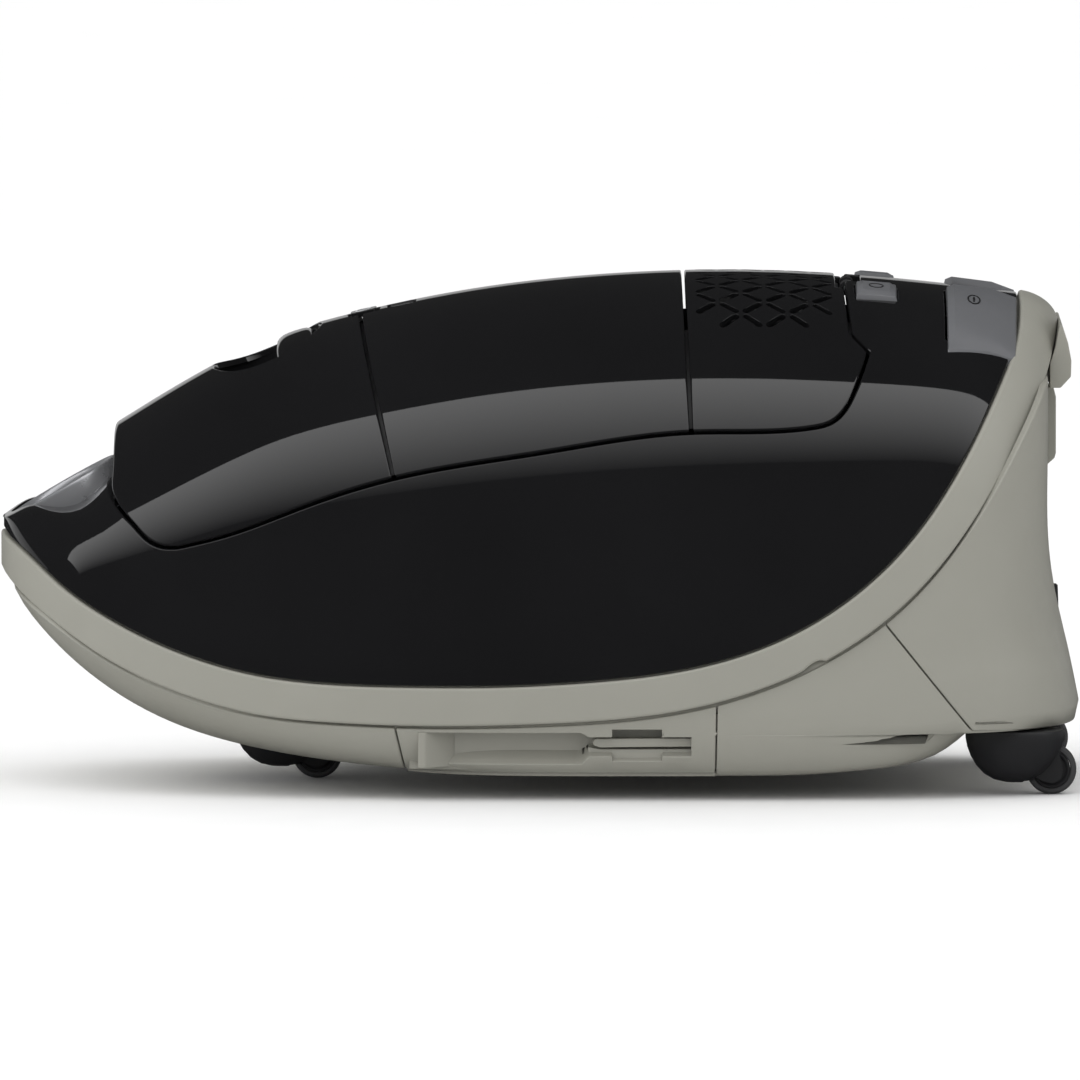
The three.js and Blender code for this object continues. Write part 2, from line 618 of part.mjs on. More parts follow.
function lidFrame() {
  const { x, z, pin, knuckle, ear, lug } = LID_HINGE;
  const openings = [
    roundedBlock(TRAY.front - 3, TRAY.rear + 3, 76, 10), handleHole(2.6),
    buttonStem(BUTTON.stem + 0.4, 190, 260),
    roundedBlock(EXHAUST.front - 3, EXHAUST.rear + 3, EXHAUST.side + 3, 6), portClearance(),
    box(138, 160, -ear[1] - 0.4, ear[1] + 0.4, 215, 240),
    ...bothSides([6, 23], (from, to) => box(FLAP_HINGE.x - 6, 67, from, to, 218, 236)),
    // room for the flap's rear edge, which dips as the flap swings up
    box(FLAP_HINGE.swing[0], FLAP_HINGE.swing[1], -FLAP_HINGE.swing[2], FLAP_HINGE.swing[2], 205, 240),
  ];
  const arms = bothSides(lug, (from, to) => {
    const arm = box(134, x, from, to, z - 3.3, z - 1.2);
    return join(rod(knuckle, from, to, onHinge()), arm);
  });
  const framed = join(cut(skin(FRAME_INSET, SHELL).intersect(lidBlock()), ...openings), ...arms);
  return framed.subtract(rod(pin + TURN_GAP, -60, 60, onHinge()));
}

// The lid's floor: it follows the lower seam between its front and rear corners.
function lidInnerPlate() {
  const run = (distance) => offset(LID_SEAM, distance).slice(4, -4);
  return between(run(0.8), run(3.2)).intersect(egg(INNER_INSET));
}

function lidGasket() {
  const { front, rear, side } = CHAMBER;
  const strip = between(offset(LID_SEAM, -5.6), offset(LID_SEAM, 0.4));
  const outer = box(front - 3, rear + 3, -side - 3, side + 3, 90, 200);
  const inner = box(front + 2, rear - 2, -side + 2, side - 2, 80, 210);
  return strip.intersect(outer.subtract(inner));
}

function handleCup() {
  const wall = 2;
  const floor = (drop) => sideSlab([[-170, 162 - drop], [-80, 182 - drop], [-80, 300], [-170, 300]]);
  const outer = handleHole(wall).intersect(floor(0)).intersect(egg(FRAME_INSET));
  const inner = handleHole(0).intersect(floor(-2.5));
  return cut(outer, inner, rod(3.3, 150, 200, { at: [-112, 0, 0], segments: 12 }));
}

function carryHandle() {
  const { barFront, rear, side, bar } = HANDLE;
  const span = box(barFront, rear, -side, side, 150, 250);
  return skin(COVER_INSET, bar).intersect(span).intersect(handleHole(-0.5));
}

function lidReleaseLever() {
  const plate = roundedBlock(-120, -105, 18, 4, 187, 190.5);
  return join(plate, rod(3, 158, 188, { at: [-112, 0, 0], segments: 12 }));
}

function flapButton() {
  const stem = buttonStem(BUTTON.stem, 205, 260).intersect(egg(2));
  return join(skin(0.4, 2.4).intersect(buttonBlock(0)), stem);
}
const indicatorLens = () => skin(1.8, 2.2).intersect(lensBlock(0));

function accessoryTray() {
  const { front, rear, side, floor, wall } = TRAY;
  const outer = roundedBlock(front, rear, side, 6, floor, 260).intersect(egg(INNER_INSET));
  return outer.subtract(roundedBlock(front + wall, rear - wall, side - wall, 5, floor + wall, 270));
}

// A nozzle: rings [x, half width, half height] from the round socket to the mouth, hollow all along.
function nozzle(sections, y) {
  const tubeOf = (shrink, stretch) => loft(sections.map(([x, wide, high], k) => {
    const end = k === 0 ? -stretch : stretch * (k === sections.length - 1 ? 1 : 0);
    return Array.from({ length: 12 }, (_, j) => {
      const angle = (2 * Math.PI * j) / 12;
      const across = (wide - shrink) * Math.cos(angle);
      const up = (high - shrink) * Math.sin(angle);
      return [x + end, y + across, TOOL.height + up];
    });
  }), true);
  return tubeOf(0, 0).subtract(tubeOf(TOOL.wall, 1));
}

const socketEnds = (start, end, radius) => [[start, radius, radius], [end, radius, radius]];

function creviceNozzle() {
  const { front, rear, socket } = TOOL;
  return nozzle([[front, 12, 4], [-8, 12, 6], ...socketEnds(18, rear, socket)], -49);
}

function upholsteryNozzle() {
  const { rear, socket } = TOOL;
  return nozzle([[-40, 31, 5], [-26, 31, 6], ...socketEnds(4, rear - 8, socket)], 0);
}

function dustingBrush() {
  const { rear, socket } = TOOL;
  return nozzle([[-34, 15, 13], [-14, 15, 13], ...socketEnds(-4, rear - 8, socket - 2)], 49);
}

const exhaustFilter = () => roundedBlock(EXHAUST.front, EXHAUST.rear, EXHAUST.side, 4, 204, 216);

// ---------------------------------------------------------------- castors

function castorFork() {
  const { drum, trail, wheel, axle, stem, stemTop, halfWidth } = CASTOR;
  const top = CASTOR_CEILING - 0.6;
  const bowl = turned([
    [0, 6], [9, 7], [16, 11], [21, 17], [drum, 23], [drum, top], [stem, top], [stem, stemTop], [0, stemTop],
  ]);
  const slot = halfWidth + 1;
  const low = wheel - 4.5;
  const side = [[4, 10], [trail - 4, low], [trail + 3, low], [trail + 5, wheel], [trail + 2, 24], [4, 24]];
  const cheek = (from) => prism(side, 'y', from, from + 2.6);
  const mouth = box(trail - wheel - 1.5, 40, -slot, slot, -5, 24.6);
  const whole = join(cut(bowl, mouth), cheek(-slot - 2.6), cheek(slot));
  return whole.subtract(rod(axle + TURN_GAP, -20, 20, { axis: 'y', at: [trail, 0, wheel], segments: 12 }));
}

function castorWheel() {
  const { trail, wheel, hub, axle, halfWidth } = CASTOR;
  const end = halfWidth + 3.4;
  const profile = [
    [0, -end], [axle, -end], [axle, -halfWidth], [hub - 2, -halfWidth], [hub, -halfWidth + 1],
    [hub, halfWidth - 1], [hub - 2, halfWidth], [axle, halfWidth], [axle, end], [0, end],
  ];
  return turned(profile, { axis: 'y', at: [trail, 0, wheel], segments: 12 });
}

function castorTyre() {
  const { trail, wheel, hub, halfWidth } = CASTOR;
  const inner = hub + TURN_GAP;
  const side = halfWidth - GAP;
  const profile = [
    [inner, -side], [wheel - 1.2, -side], [wheel, 1.2 - side], [wheel, side - 1.2],
    [wheel - 1.2, side], [inner, side], [inner, -side],
  ];
  return turned(profile, { axis: 'y', at: [trail, 0, wheel], segments: 20 });
}

// ---------------------------------------------------------------- the assembly

function piece(name, part, material) {
  const mesh = new THREE.Mesh(geometryOf(part), material);
  mesh.name = name;
  return mesh;
}

const vacuum = new THREE.Group();

vacuum.add(
  piece('base_pan', basePan(), materials.stone),
  piece('rear_skirt', rearSkirt(), materials.stone),
  piece('bumper_band', bumperBand(), materials.stone),
  piece('rear_grip_cap', rearGripCap(), materials.stone),
  piece('rear_parking_socket', rearParkingSocket(), materials.stone),
  piece('parking_panel_left', parkingPanel(-1), materials.panel),
  piece('parking_panel_right', parkingPanel(1), materials.panel),
  piece('upper_housing', upperHousing(), materials.gloss),
  piece('power_pedal', footPedal(-1), materials.grey),
  piece('rewind_pedal', footPedal(1), materials.grey),
  piece('power_key_minus', powerKey(-1), materials.gloss),
  piece('power_key_plus', powerKey(1), materials.gloss),
  piece('lid_hinge_bracket', hingeBracket(), materials.black),
  piece('lid_hinge_pin', hingePin(), materials.steel),
);

vacuum.add(
  piece('hose_port_ring', hosePortRing(), materials.silver),
  piece('hose_port_seal', hosePortSeal(), materials.rubber),
  piece('intake_duct', intakeDuct(), materials.inner),
  piece('dust_chamber', dustChamber(), materials.inner),
  piece('bag_holder', bagHolder(), materials.grey),
  piece('dust_bag', dustBag(), materials.bag),
  piece('motor_filter', motorFilter(), materials.filter),
);

vacuum.add(
  piece('motor_mount_front', motorMount(68.5), materials.rubber),
  piece('motor_housing_front', motorHousingFront(), materials.inner),
  piece('motor_housing_rear', motorHousingRear(), materials.inner),
  piece('motor_mount_rear', motorMount(MOTOR.rear + 0.6), materials.rubber),
  piece('motor_stator', motorStator(), materials.copper),
  piece('motor_rotor', motorRotor(), materials.steel),
  piece('fan_impeller', fanImpeller(), materials.steel),
  piece('reel_bracket', reelBracket(), materials.black),
  piece('reel_spring_case', reelSpringCase(), materials.grey),
  piece('cord_drum', cordDrum(), materials.inner),
  piece('control_board', controlBoard(), materials.board),
  piece('cord_outlet', cordOutlet(), materials.rubber),
);

vacuum.add(
  piece('lid_frame', lidFrame(), materials.black),
  piece('lid_front_cover', lidFrontCover(), materials.gloss),
  piece('exhaust_grille', exhaustGrille(), materials.gloss),
  piece('lid_inner_plate', lidInnerPlate(), materials.inner),
  piece('lid_gasket', lidGasket(), materials.rubber),
  piece('carry_handle', carryHandle(), materials.gloss),
  piece('handle_cup', handleCup(), materials.black),
  piece('lid_release_lever', lidReleaseLever(), materials.grey),
  piece('exhaust_filter', exhaustFilter(), materials.filter),
  piece('accessory_tray', accessoryTray(), materials.inner),
  piece('crevice_nozzle', creviceNozzle(), materials.black),
  piece('upholstery_nozzle', upholsteryNozzle(), materials.black),
  piece('dusting_brush', dustingBrush(), materials.black),
  piece('accessory_flap', accessoryFlap(), materials.gloss),
  piece('flap_button', flapButton(), materials.gloss),
  piece('bag_indicator_lens', indicatorLens(), materials.lens),
);

for (const [place, [x, y]] of Object.entries(CASTOR_PLACES)) {
  const castor = new THREE.Group();
  castor.position.set(x, y, 0);
  castor.add(
    piece(`castor_fork_${place}`, castorFork(), materials.black),
    piece(`castor_wheel_${place}`, castorWheel(), materials.grey),
    piece(`castor_tyre_${place}`, castorTyre(), materials.tyre),
  );
  vacuum.add(castor);
}

export default vacuum;
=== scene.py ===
"""Looks of a canister vacuum cleaner body: gloss lid panels, bumper band, stone hull, castors and insides.

Lengths are in millimetres until a mesh is made. +X is the rear, -Y the near side, +Z up.
"""

import json
import math

import bmesh
import bpy
import numpy as np
from mathutils import Matrix, Vector
from mathutils.geometry import delaunay_2d_cdt


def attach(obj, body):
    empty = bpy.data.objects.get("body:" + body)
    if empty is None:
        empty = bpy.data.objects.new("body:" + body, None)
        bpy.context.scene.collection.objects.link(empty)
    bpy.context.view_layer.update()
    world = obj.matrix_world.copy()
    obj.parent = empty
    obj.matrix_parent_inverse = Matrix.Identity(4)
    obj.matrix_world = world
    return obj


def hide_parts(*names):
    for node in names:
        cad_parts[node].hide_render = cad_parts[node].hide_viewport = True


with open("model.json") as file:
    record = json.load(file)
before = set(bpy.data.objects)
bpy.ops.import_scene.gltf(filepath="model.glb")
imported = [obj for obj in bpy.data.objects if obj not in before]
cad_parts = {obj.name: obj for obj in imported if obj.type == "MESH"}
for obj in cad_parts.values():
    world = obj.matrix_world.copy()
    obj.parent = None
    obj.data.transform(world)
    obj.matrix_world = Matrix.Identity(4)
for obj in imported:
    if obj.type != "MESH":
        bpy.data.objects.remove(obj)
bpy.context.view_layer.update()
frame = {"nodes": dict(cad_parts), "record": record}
NODES = frame["nodes"]
scene = bpy.context.scene
MM = 0.001

# ---------------------------------------------------------------- the egg-shaped shell

CENTRE, FRONT, REAR, HALF = 40.0, 290.0, 200.0, 150.0
NOSE, TAIL = CENTRE - FRONT, CENTRE + REAR
FRONT_POWER, REAR_POWER, POWER = 2.4, 4.0, 2.5
DECK_BLEND = 12.0  # how tightly the port deck meets the sides
V_SCALE = 130.0  # millimetres per radian round the section, in the flat map of the surface
V_TOP = V_SCALE * math.pi / 2
SEAM = 1.5
COVER_INSET = 1.2


def natural_spline(points):
    """The smooth function through [x, value] points, straight at both ends."""
    x, y = np.array(points, float).T
    n = len(x)
    h = np.diff(x)
    grid = np.eye(n)
    load = np.zeros(n)
    for i in range(1, n - 1):
        grid[i, i - 1 : i + 2] = h[i - 1], 2 * (h[i - 1] + h[i]), h[i]
        load[i] = 6 * ((y[i + 1] - y[i]) / h[i] - (y[i] - y[i - 1]) / h[i - 1])
    bend = np.linalg.solve(grid, load)

    def value(t):
        t = np.asarray(t, float)
        i = np.clip(np.searchsorted(x, t) - 1, 0, n - 2)
        a, b = x[i + 1] - t, t - x[i]
        curved = (bend[i] * a**3 + bend[i + 1] * b**3) / (6 * h[i])
        straight = (y[i] / h[i] - bend[i] * h[i] / 6) * a
        return curved + straight + (y[i + 1] / h[i] - bend[i + 1] * h[i] / 6) * b

    return value


TOP_LINE = natural_spline(
    [
        (-250, 130), (-240, 138.5), (-225, 148.5), (-198.5, 165), (-167, 184.3), (-130, 203.2),
        (-84, 217.4), (-30, 228.3), (28, 234.8), (88, 236.9), (139, 235), (185, 230.9), (223, 226.4), (
            250, 222.6,
        ),
    ]
)
MIDDLE_LINE = natural_spline(
    [
        (-250, 112), (-222, 86), (-190, 67), (-150, 52.5), (-100, 44), (-40, 41.5), (28, 45), (88, 54),
        (139, 67), (190, 81), (240, 92)
    ]
)
BOTTOM_LINE = natural_spline(
    [
        (-250, 94), (-243, 70), (-225, 38), (-197.5, 8), (-160, -14), (-110, -27), (-50, -31), (28, -29),
        (88, -20), (139, 0), (190, 30), (218, 50), (240, 78),
    ]
)
DECK_LINE = natural_spline(
    [
        (-250, 122.6), (-245, 125.6), (-238, 129.3), (-227, 129.5), (-219, 129.5), (-212, 132), (-205, 138),
        (-201, 143), (-195, 156), (-188, 176), (-180, 205), (-170, 250), (-150, 340),
    ]
)
TAIL_DROP = 11.5  # how far the top falls to the corner of the rear wall
TAIL_START = 223.0


def top_line(x):
    s = np.clip((x - TAIL_START) / (TAIL - TAIL_START), 0, 0.985)
    return TOP_LINE(x) - TAIL_DROP * (1 - np.sqrt(1 - s**2))


def half_width(x):
    """Half the width at station x, and its slope divided by it."""
    ahead = x < CENTRE
    reach = np.where(ahead, FRONT, REAR)
    power = np.where(ahead, FRONT_POWER, REAR_POWER)
    u = np.minimum(np.abs(x - CENTRE) / reach, 1 - 1e-7)
    rest = 1 - u**power
    return HALF * rest ** (1 / power), -np.sign(x - CENTRE) * u ** (power - 1) / rest / reach


def slope(line, x):
    step = 0.05
    return (line(x + step) - line(x - step)) / (2 * step)


def shell_point(x, phi, deck=False):
    """Point and outward normal on the near half, at station x and section angle phi."""
    x = np.clip(np.asarray(x, float), NOSE + 1e-5, TAIL - 1e-5)
    phi = np.asarray(phi, float)
    width, width_slope = half_width(x)
    middle, middle_slope = MIDDLE_LINE(x), slope(MIDDLE_LINE, x)
    upper = phi >= 0
    side = np.where(upper, 1.0, -1.0)
    height = np.where(upper, top_line(x) - middle, middle - BOTTOM_LINE(x))
    height_slope = np.where(upper, slope(top_line, x) - middle_slope, middle_slope - slope(BOTTOM_LINE, x))
    eta = np.abs(np.cos(phi)) ** (2 / POWER)
    zeta = np.abs(np.sin(phi)) ** (2 / POWER)
    if deck:
        room = DECK_LINE(x) - middle
        level = np.where(upper, height * zeta / room, 0)
        rho = (1 + level**DECK_BLEND) ** (-1 / DECK_BLEND)
        level = level * rho
    else:
        room, level, rho = np.ones_like(x), np.zeros_like(x), np.ones_like(x)
    eta, zeta = eta * rho, zeta * rho
    point = np.stack([x, -width * eta, middle + side * height * zeta], -1)
    zeta_x = (-side * middle_slope - zeta * height_slope) / height
    scale = rho ** (1 - POWER) * rho ** (DECK_BLEND - 1)
    gx = scale * (-(eta**POWER) * width_slope + zeta ** (POWER - 1) * zeta_x)
    gy = -scale * eta ** (POWER - 1) / width
    gz = scale * zeta ** (POWER - 1) * side / height
    if deck:
        push = level ** (DECK_BLEND - 1)
        gx = gx + push * (-middle_slope - level * (slope(DECK_LINE, x) - middle_slope)) / room
        gz = gz + push / room
    normal = np.stack([gx, gy, gz], -1)
    return point, normal / np.linalg.norm(normal, axis=-1, keepdims=True)


def run_table():
    t = np.linspace(0, 1, 6001)
    ahead = CENTRE - FRONT * (1 - t**3)
    behind = CENTRE + REAR * (1 - (1 - t[1:]) ** 3)
    x = np.concatenate([ahead, behind])
    x[0], x[-1] = NOSE + 1e-6, TAIL - 1e-6
    width = half_width(x)[0]
    width[0] = width[-1] = 0
    return x, np.concatenate([[0], np.cumsum(np.hypot(np.diff(x), np.diff(width)))])


RUN_X, RUN_U = run_table()
U_END = RUN_U[-1]


def u_of(x):
    return np.interp(x, RUN_X, RUN_U)


def x_of(u):
    return np.interp(u, RUN_U, RUN_X)


def flat(x, phi):
    """Stations and angles as points of the flat map."""
    return np.stack([u_of(x) + 0 * phi, V_SCALE * phi + 0 * x], -1)


def angle_at(x, z, deck=False):
    """The section angle where the surface reaches height z at station x."""
    low = np.full(np.shape(x), -math.pi / 2)
    high = np.full(np.shape(x), math.pi / 2)
    for _ in range(40):
        middle = (low + high) / 2
        above = shell_point(x, middle, deck)[0][..., 2] > z
        high = np.where(above, middle, high)
        low = np.where(above, low, middle)
    return (low + high) / 2


# ---------------------------------------------------------------- curves on the shell


def along(points, step=3.0):
    """A smooth curve through flat points, sampled about every step."""
    points = np.array(points, float)
    reach = np.concatenate([[0], np.cumsum(np.linalg.norm(np.diff(points, axis=0), axis=1))])
    t = np.linspace(0, reach[-1], max(2, round(reach[-1] / step)) + 1)
    return np.stack(
        [natural_spline(np.stack([reach, points[:, k]], -1))(t) for k in range(points.shape[1])], -1
    )


def straight(a, b, step=3.0):
    a, b = np.array(a, float), np.array(b, float)
    return a + (b - a) * np.linspace(0, 1, max(1, math.ceil(np.linalg.norm(b - a) / step)) + 1)[:, None]


def traced(side_curve, deck=False):
    """A side-view [x, z] curve laid on the shell."""
    x = np.clip(side_curve[:, 0], NOSE, TAIL)
    return flat(x, angle_at(x, side_curve[:, 1], deck))


def climbing(line, start, deck=False, end=math.pi / 2, count=40):
    """The seam where a plane across the body, x = line(z), meets the shell between two angles."""
    phi = np.linspace(start, end, count)
    x = np.full(count, line(200.0))
    for _ in range(30):
        x = line(shell_point(x, phi, deck)[0][:, 2])
    return flat(x, phi)


def from_plan(xy):
    """A plan-view [x, |y|] curve laid on the upper shell."""
    x, y = xy[:, 0], np.abs(xy[:, 1])
    ratio = np.clip(y / half_width(x)[0], 0, 1)
    return flat(x, np.arccos(ratio ** (POWER / 2)))


def leaning(line):
    (x0, z0), (x1, z1) = line
    return lambda z: x0 + (x1 - x0) * (np.asarray(z) - z0) / (z1 - z0)


def cut_at(curve, line):
    """The part of a side-view curve before, and after, it crosses a leaning line, both with the crossing."""
    gap = curve[:, 0] - line(curve[:, 1])
    i = int(np.nonzero(np.diff(np.sign(gap)))[0][0])
    crossing = curve[i] + (curve[i + 1] - curve[i]) * gap[i] / (gap[i] - gap[i + 1])
    return np.vstack([curve[: i + 1], crossing]), np.vstack([crossing, curve[i + 1 :]])


def joined(*runs):
    """Runs of points as one loop, with doubled points dropped."""
    points = np.vstack(runs)
    keep = np.linalg.norm(points - np.roll(points, 1, axis=0), axis=1) > 0.05
    return points[keep]


BUMPER_TOP = along(
    [
        (-254, 118), (-241, 110), (-223, 95.6), (-201, 81.7), (-167, 66.7), (-130, 57), (-93, 53.4), (
            -56, 52.7,
        ),
        (-19, 53), (19, 55), (55, 58.8), (93, 67.6), (130, 84.7), (167, 115.4), (195, 154.7), (213, 190),
        (219, 204), (221.6, 214), (222.2, 222),
    ]
)
BUMPER_BOTTOM = along(
    [
        (-254, 103), (-242, 91), (-223, 76.5), (-201, 62.6), (-167, 48.1), (-130, 38.8), (-93, 35.7), (
            -56, 34.7,
        ),
        (0, 35.9), (46, 39.2), (83, 46.2), (120, 59.6), (158, 82.5), (195, 121.6), (213, 149.5), (
            224, 169.5,
        ),
        (232, 185.6), (237, 200), (239.8, 211.5),
    ]
)
LID_SEAM = np.vstack(
    [
        along(
            [
                (-200.2, 150), (-199.4, 139), (-194, 131), (-187.3, 124), (-181.5, 118.2), (-174.5, 115.2),
                (-167, 115.2)
            ],
            1.5
        ),
        along(
            [
                (-167, 115.2), (-144, 121.4), (-112, 133.6), (-67.5, 148), (0, 160), (69, 169.4), (
                    125, 171.6,
                ),
                (134.4, 174.3), (140.4, 180), (144.6, 188), (149.3, 199.3), (153, 211),
            ],
            2.0,
        )[1:],
    ]
)
LID_REAR = leaning([(142.8, 216.6), (139.8, 240)])
LID_FRONT = leaning([(-200.2, 100), (-200.2, 260)])
FRONT_CROSS = leaning([(-93.4, 260), (-65.2, 138)])
REAR_CROSS = leaning([(65.1, 260), (70.8, 140)])
BAND_REAR = leaning([(222.2, 150), (222.2, 260)])
PORT_CENTRE, PORT_AXIS = np.array([-220.0, 0, 134]), np.array([-0.5, 0, math.sqrt(0.75)])

# ---------------------------------------------------------------- the boat-shaped base

BASE_FRONT_POWER = 3.3
PANEL_FRONT, PANEL_REAR = (-68.0, -59.0), (81.5, 80.5)  # seam stations at z 40 (60 at the rear) and z 0
LEDGE = 30.6  # underside of the base over the rear castors
WELL_X, WELL_R = -120.0, 33.0
STERN_REACH = 206.0  # from the widest station to the tail just above the ledge
CUT_POWER = 10.0  # how squarely the underside cuts across the rear


def table_of(points, step=0.8):
    """Arc length along a spline through [z, reach] points, with its z and reach."""
    run = along(points, step)
    v = np.concatenate([[0], np.cumsum(np.linalg.norm(np.diff(run, axis=0), axis=1))])
    return v, run[:, 0], run[:, 1]


def chained(first, second):
    v0, z0, x0 = first
    v1, z1, x1 = second
    gap = math.hypot(z1[0] - z0[-1], x1[0] - x0[-1])
    count = max(2, round(gap / 2))
    t = np.linspace(0, 1, count + 1)[1:-1]
    return (
        np.concatenate([v0, v0[-1] + t * gap, v1 + v0[-1] + gap]),
        np.concatenate([z0, z0[-1] + t * (z1[0] - z0[-1]), z1]),
        np.concatenate([x0, x0[-1] + t * (x1[0] - x0[-1]), x1]),
    )


PROFILE = {
    "prow": table_of(
        [
            (11, -50), (13.5, -94), (19, -134), (30.5, -174), (50, -207.5), (72, -231), (95, -245.5),
            (118, -248.5), (150, -248.5)
        ]
    ),
    "side": table_of(
        [
            (11, 131), (12.2, 134.5), (15, 138.6), (19, 141.8), (30.5, 146), (50, 147.3), (72, 147),
            (118, 147), (170, 147), (215, 147)
        ]
    ),
    "stern": chained(
        table_of([(11, 130), (13.5, 160), (19, 184), (30.0, 199)]),
        chained(
            table_of([(LEDGE - 0.1, 201), (LEDGE, 243)]),
            table_of(
                [
                    (LEDGE + 0.2, 245.5), (32, 248.6), (35, 249.7), (42, 249), (50, 247.4), (72, 242.4), (
                        95, 237.4,
                    ),
                    (118, 234.8), (150, 234.6), (192, 234.7), (214, 234.7),
                ]
            ),
        ),
    ),
}
HULL_V0 = -200.0  # keeps the base's flat maps clear of the egg's ridge line


def hull_run():
    t = np.linspace(0, 1, 4001)
    s = np.concatenate([-1 + t**3, (1 - (1 - t[1:]) ** 3)])
    x = np.where(s < 0, 285 * s, 205 * s)
    power = np.where(s < 0, BASE_FRONT_POWER, REAR_POWER)
    y = 147 * np.clip(1 - np.abs(s) ** power, 0, 1) ** (1 / power)
    u = np.concatenate([[0], np.cumsum(np.hypot(np.diff(x), np.diff(y)))])
    return s, u * U_END / u[-1]


HULL_S, HULL_U = hull_run()


def at_height(z, kind):
    """Flat-map v of the height z."""
    v, zs, _ = PROFILE[kind]
    return np.interp(z, zs, v) + HULL_V0


def hull_rings(v, kind):
    """Height, front reach, rear reach and half width of the base's level sections."""
    v = v - HULL_V0
    runs, zs, reach = PROFILE[kind]
    z = np.interp(v, runs, zs)
    ahead = CENTRE - (np.interp(v, runs, reach) if kind == "prow" else np.interp(z, *PROFILE["prow"][1:]))
    behind = (np.interp(v, runs, reach) if kind == "stern" else np.interp(z, *PROFILE["stern"][1:])) - CENTRE
    half = np.interp(v, runs, reach) if kind == "side" else np.interp(z, *PROFILE["side"][1:])
    return z, ahead, behind, half


def hull_place(u, v, kind):
    """Where a point of the flat map lies on the base."""
    s = np.interp(u, HULL_U, HULL_S)
    z, ahead, behind, half = hull_rings(v, kind)
    x = CENTRE + np.where(s < 0, ahead, behind) * s
    bow = np.clip(1 - np.abs(s) ** BASE_FRONT_POWER, 0, 1) ** (1 / BASE_FRONT_POWER)
    below = np.clip((STERN_REACH - behind) / 5, 0, 1) if kind == "stern" else np.where(z < LEDGE, 1.0, 0.0)
    reach = STERN_REACH * below + behind * (1 - below)
    wall = np.clip(1 - (np.clip(x - CENTRE, 0, None) / reach) ** REAR_POWER, 0, 1) ** (1 / REAR_POWER)
    cut = np.clip(1 - np.clip(s, 0, 1) ** CUT_POWER, 0, 1) ** (1 / CUT_POWER)
    y = -half * np.where(s < 0, bow, wall * cut**below)
    return np.stack([x, y, z], -1)


def hull_point(uv, kind):
    u, v = uv[..., 0], uv[..., 1]
    step = 1.2
    along_u = hull_place(np.minimum(u + step, U_END), v, kind) - hull_place(
        np.maximum(u - step, 0), v, kind,
    )
    along_v = hull_place(u, v + step, kind) - hull_place(u, v - step, kind)
    normal = np.cross(along_u, along_v)
    return hull_place(u, v, kind), normal / (np.linalg.norm(normal, axis=-1, keepdims=True) + 1e-12)


def on_hull(xz, kind):
    """A side-view [x, z] curve laid on the base."""
    v = at_height(xz[:, 1], kind)
    _, ahead, behind, _ = hull_rings(v, kind)
    offset = xz[:, 0] - CENTRE
    s = np.clip(offset / np.where(offset < 0, ahead, behind), -1, 1)
    return np.stack([np.interp(s, HULL_S, HULL_U), v], -1)


def under_height(x, y):
    """Height of the prow's underside above a plan point."""
    low, high = np.full(np.shape(x), 11.0), np.full(np.shape(x), 60.0)
    for _ in range(40):
        z = (low + high) / 2
        _, ahead, _, half = hull_rings(at_height(z, "prow"), "prow")
        outside = ((CENTRE - x) / ahead) ** BASE_FRONT_POWER + (np.abs(y) / half) ** BASE_FRONT_POWER > 1
        low = np.where(outside, z, low)
        high = np.where(outside, high, z)
    return (low + high) / 2


def under_prow(xy):
    """A plan-view [x, |y|] curve laid on the prow's underside."""
    z = under_height(xy[:, 0], xy[:, 1])
    return on_hull(np.stack([xy[:, 0], z], -1), "prow")


def lifted(uv, surface):
    """Points and normals of the flat map on the egg (False), the egg with its port deck (True) or the base."""
    if surface in PROFILE:
        return hull_point(uv, surface)
    return shell_point(x_of(uv[..., 0]), uv[..., 1] / V_SCALE, surface)


# ---------------------------------------------------------------- meshes


def mesh_object(name, points, faces, normals=None, scale=MM):
    mesh = bpy.data.meshes.new(name)
    mesh.from_pydata((np.asarray(points) * scale).tolist(), [], faces)
    mesh.validate()
    mesh.polygons.foreach_set("use_smooth", [True] * len(mesh.polygons))
    if normals is not None:
        mesh.normals_split_custom_set_from_vertices(np.asarray(normals).tolist())
    mesh.update()
    obj = bpy.data.objects.new(name, mesh)
    bpy.context.scene.collection.objects.link(obj)
    return obj


def signed_area(loop):
    x, y = loop.T
    return float(np.sum(x * np.roll(y, -1) - np.roll(x, -1) * y)) / 2


def inside(points, loop):
    """Which points lie inside a closed loop, by counting crossings."""
    a, b = loop, np.roll(loop, -1, axis=0)
    px, py = points[:, 0][:, None], points[:, 1][:, None]
    crosses = (a[:, 1] > py) != (b[:, 1] > py)
    rise = np.where(b[:, 1] == a[:, 1], 1, b[:, 1] - a[:, 1])
    at = a[:, 0] + (py - a[:, 1]) * (b[:, 0] - a[:, 0]) / rise
    return np.sum(crosses & (px < at), axis=1) % 2 == 1


def on_mirror(a, b):
    """Whether the side from a to b of a loop lies in the body's middle plane."""
    top = min(a[1], b[1]) > V_TOP - 1e-3
    nose = max(a[0], b[0]) < 1e-2
    tail = min(a[0], b[0]) > U_END - 1e-2
    return top or nose or tail


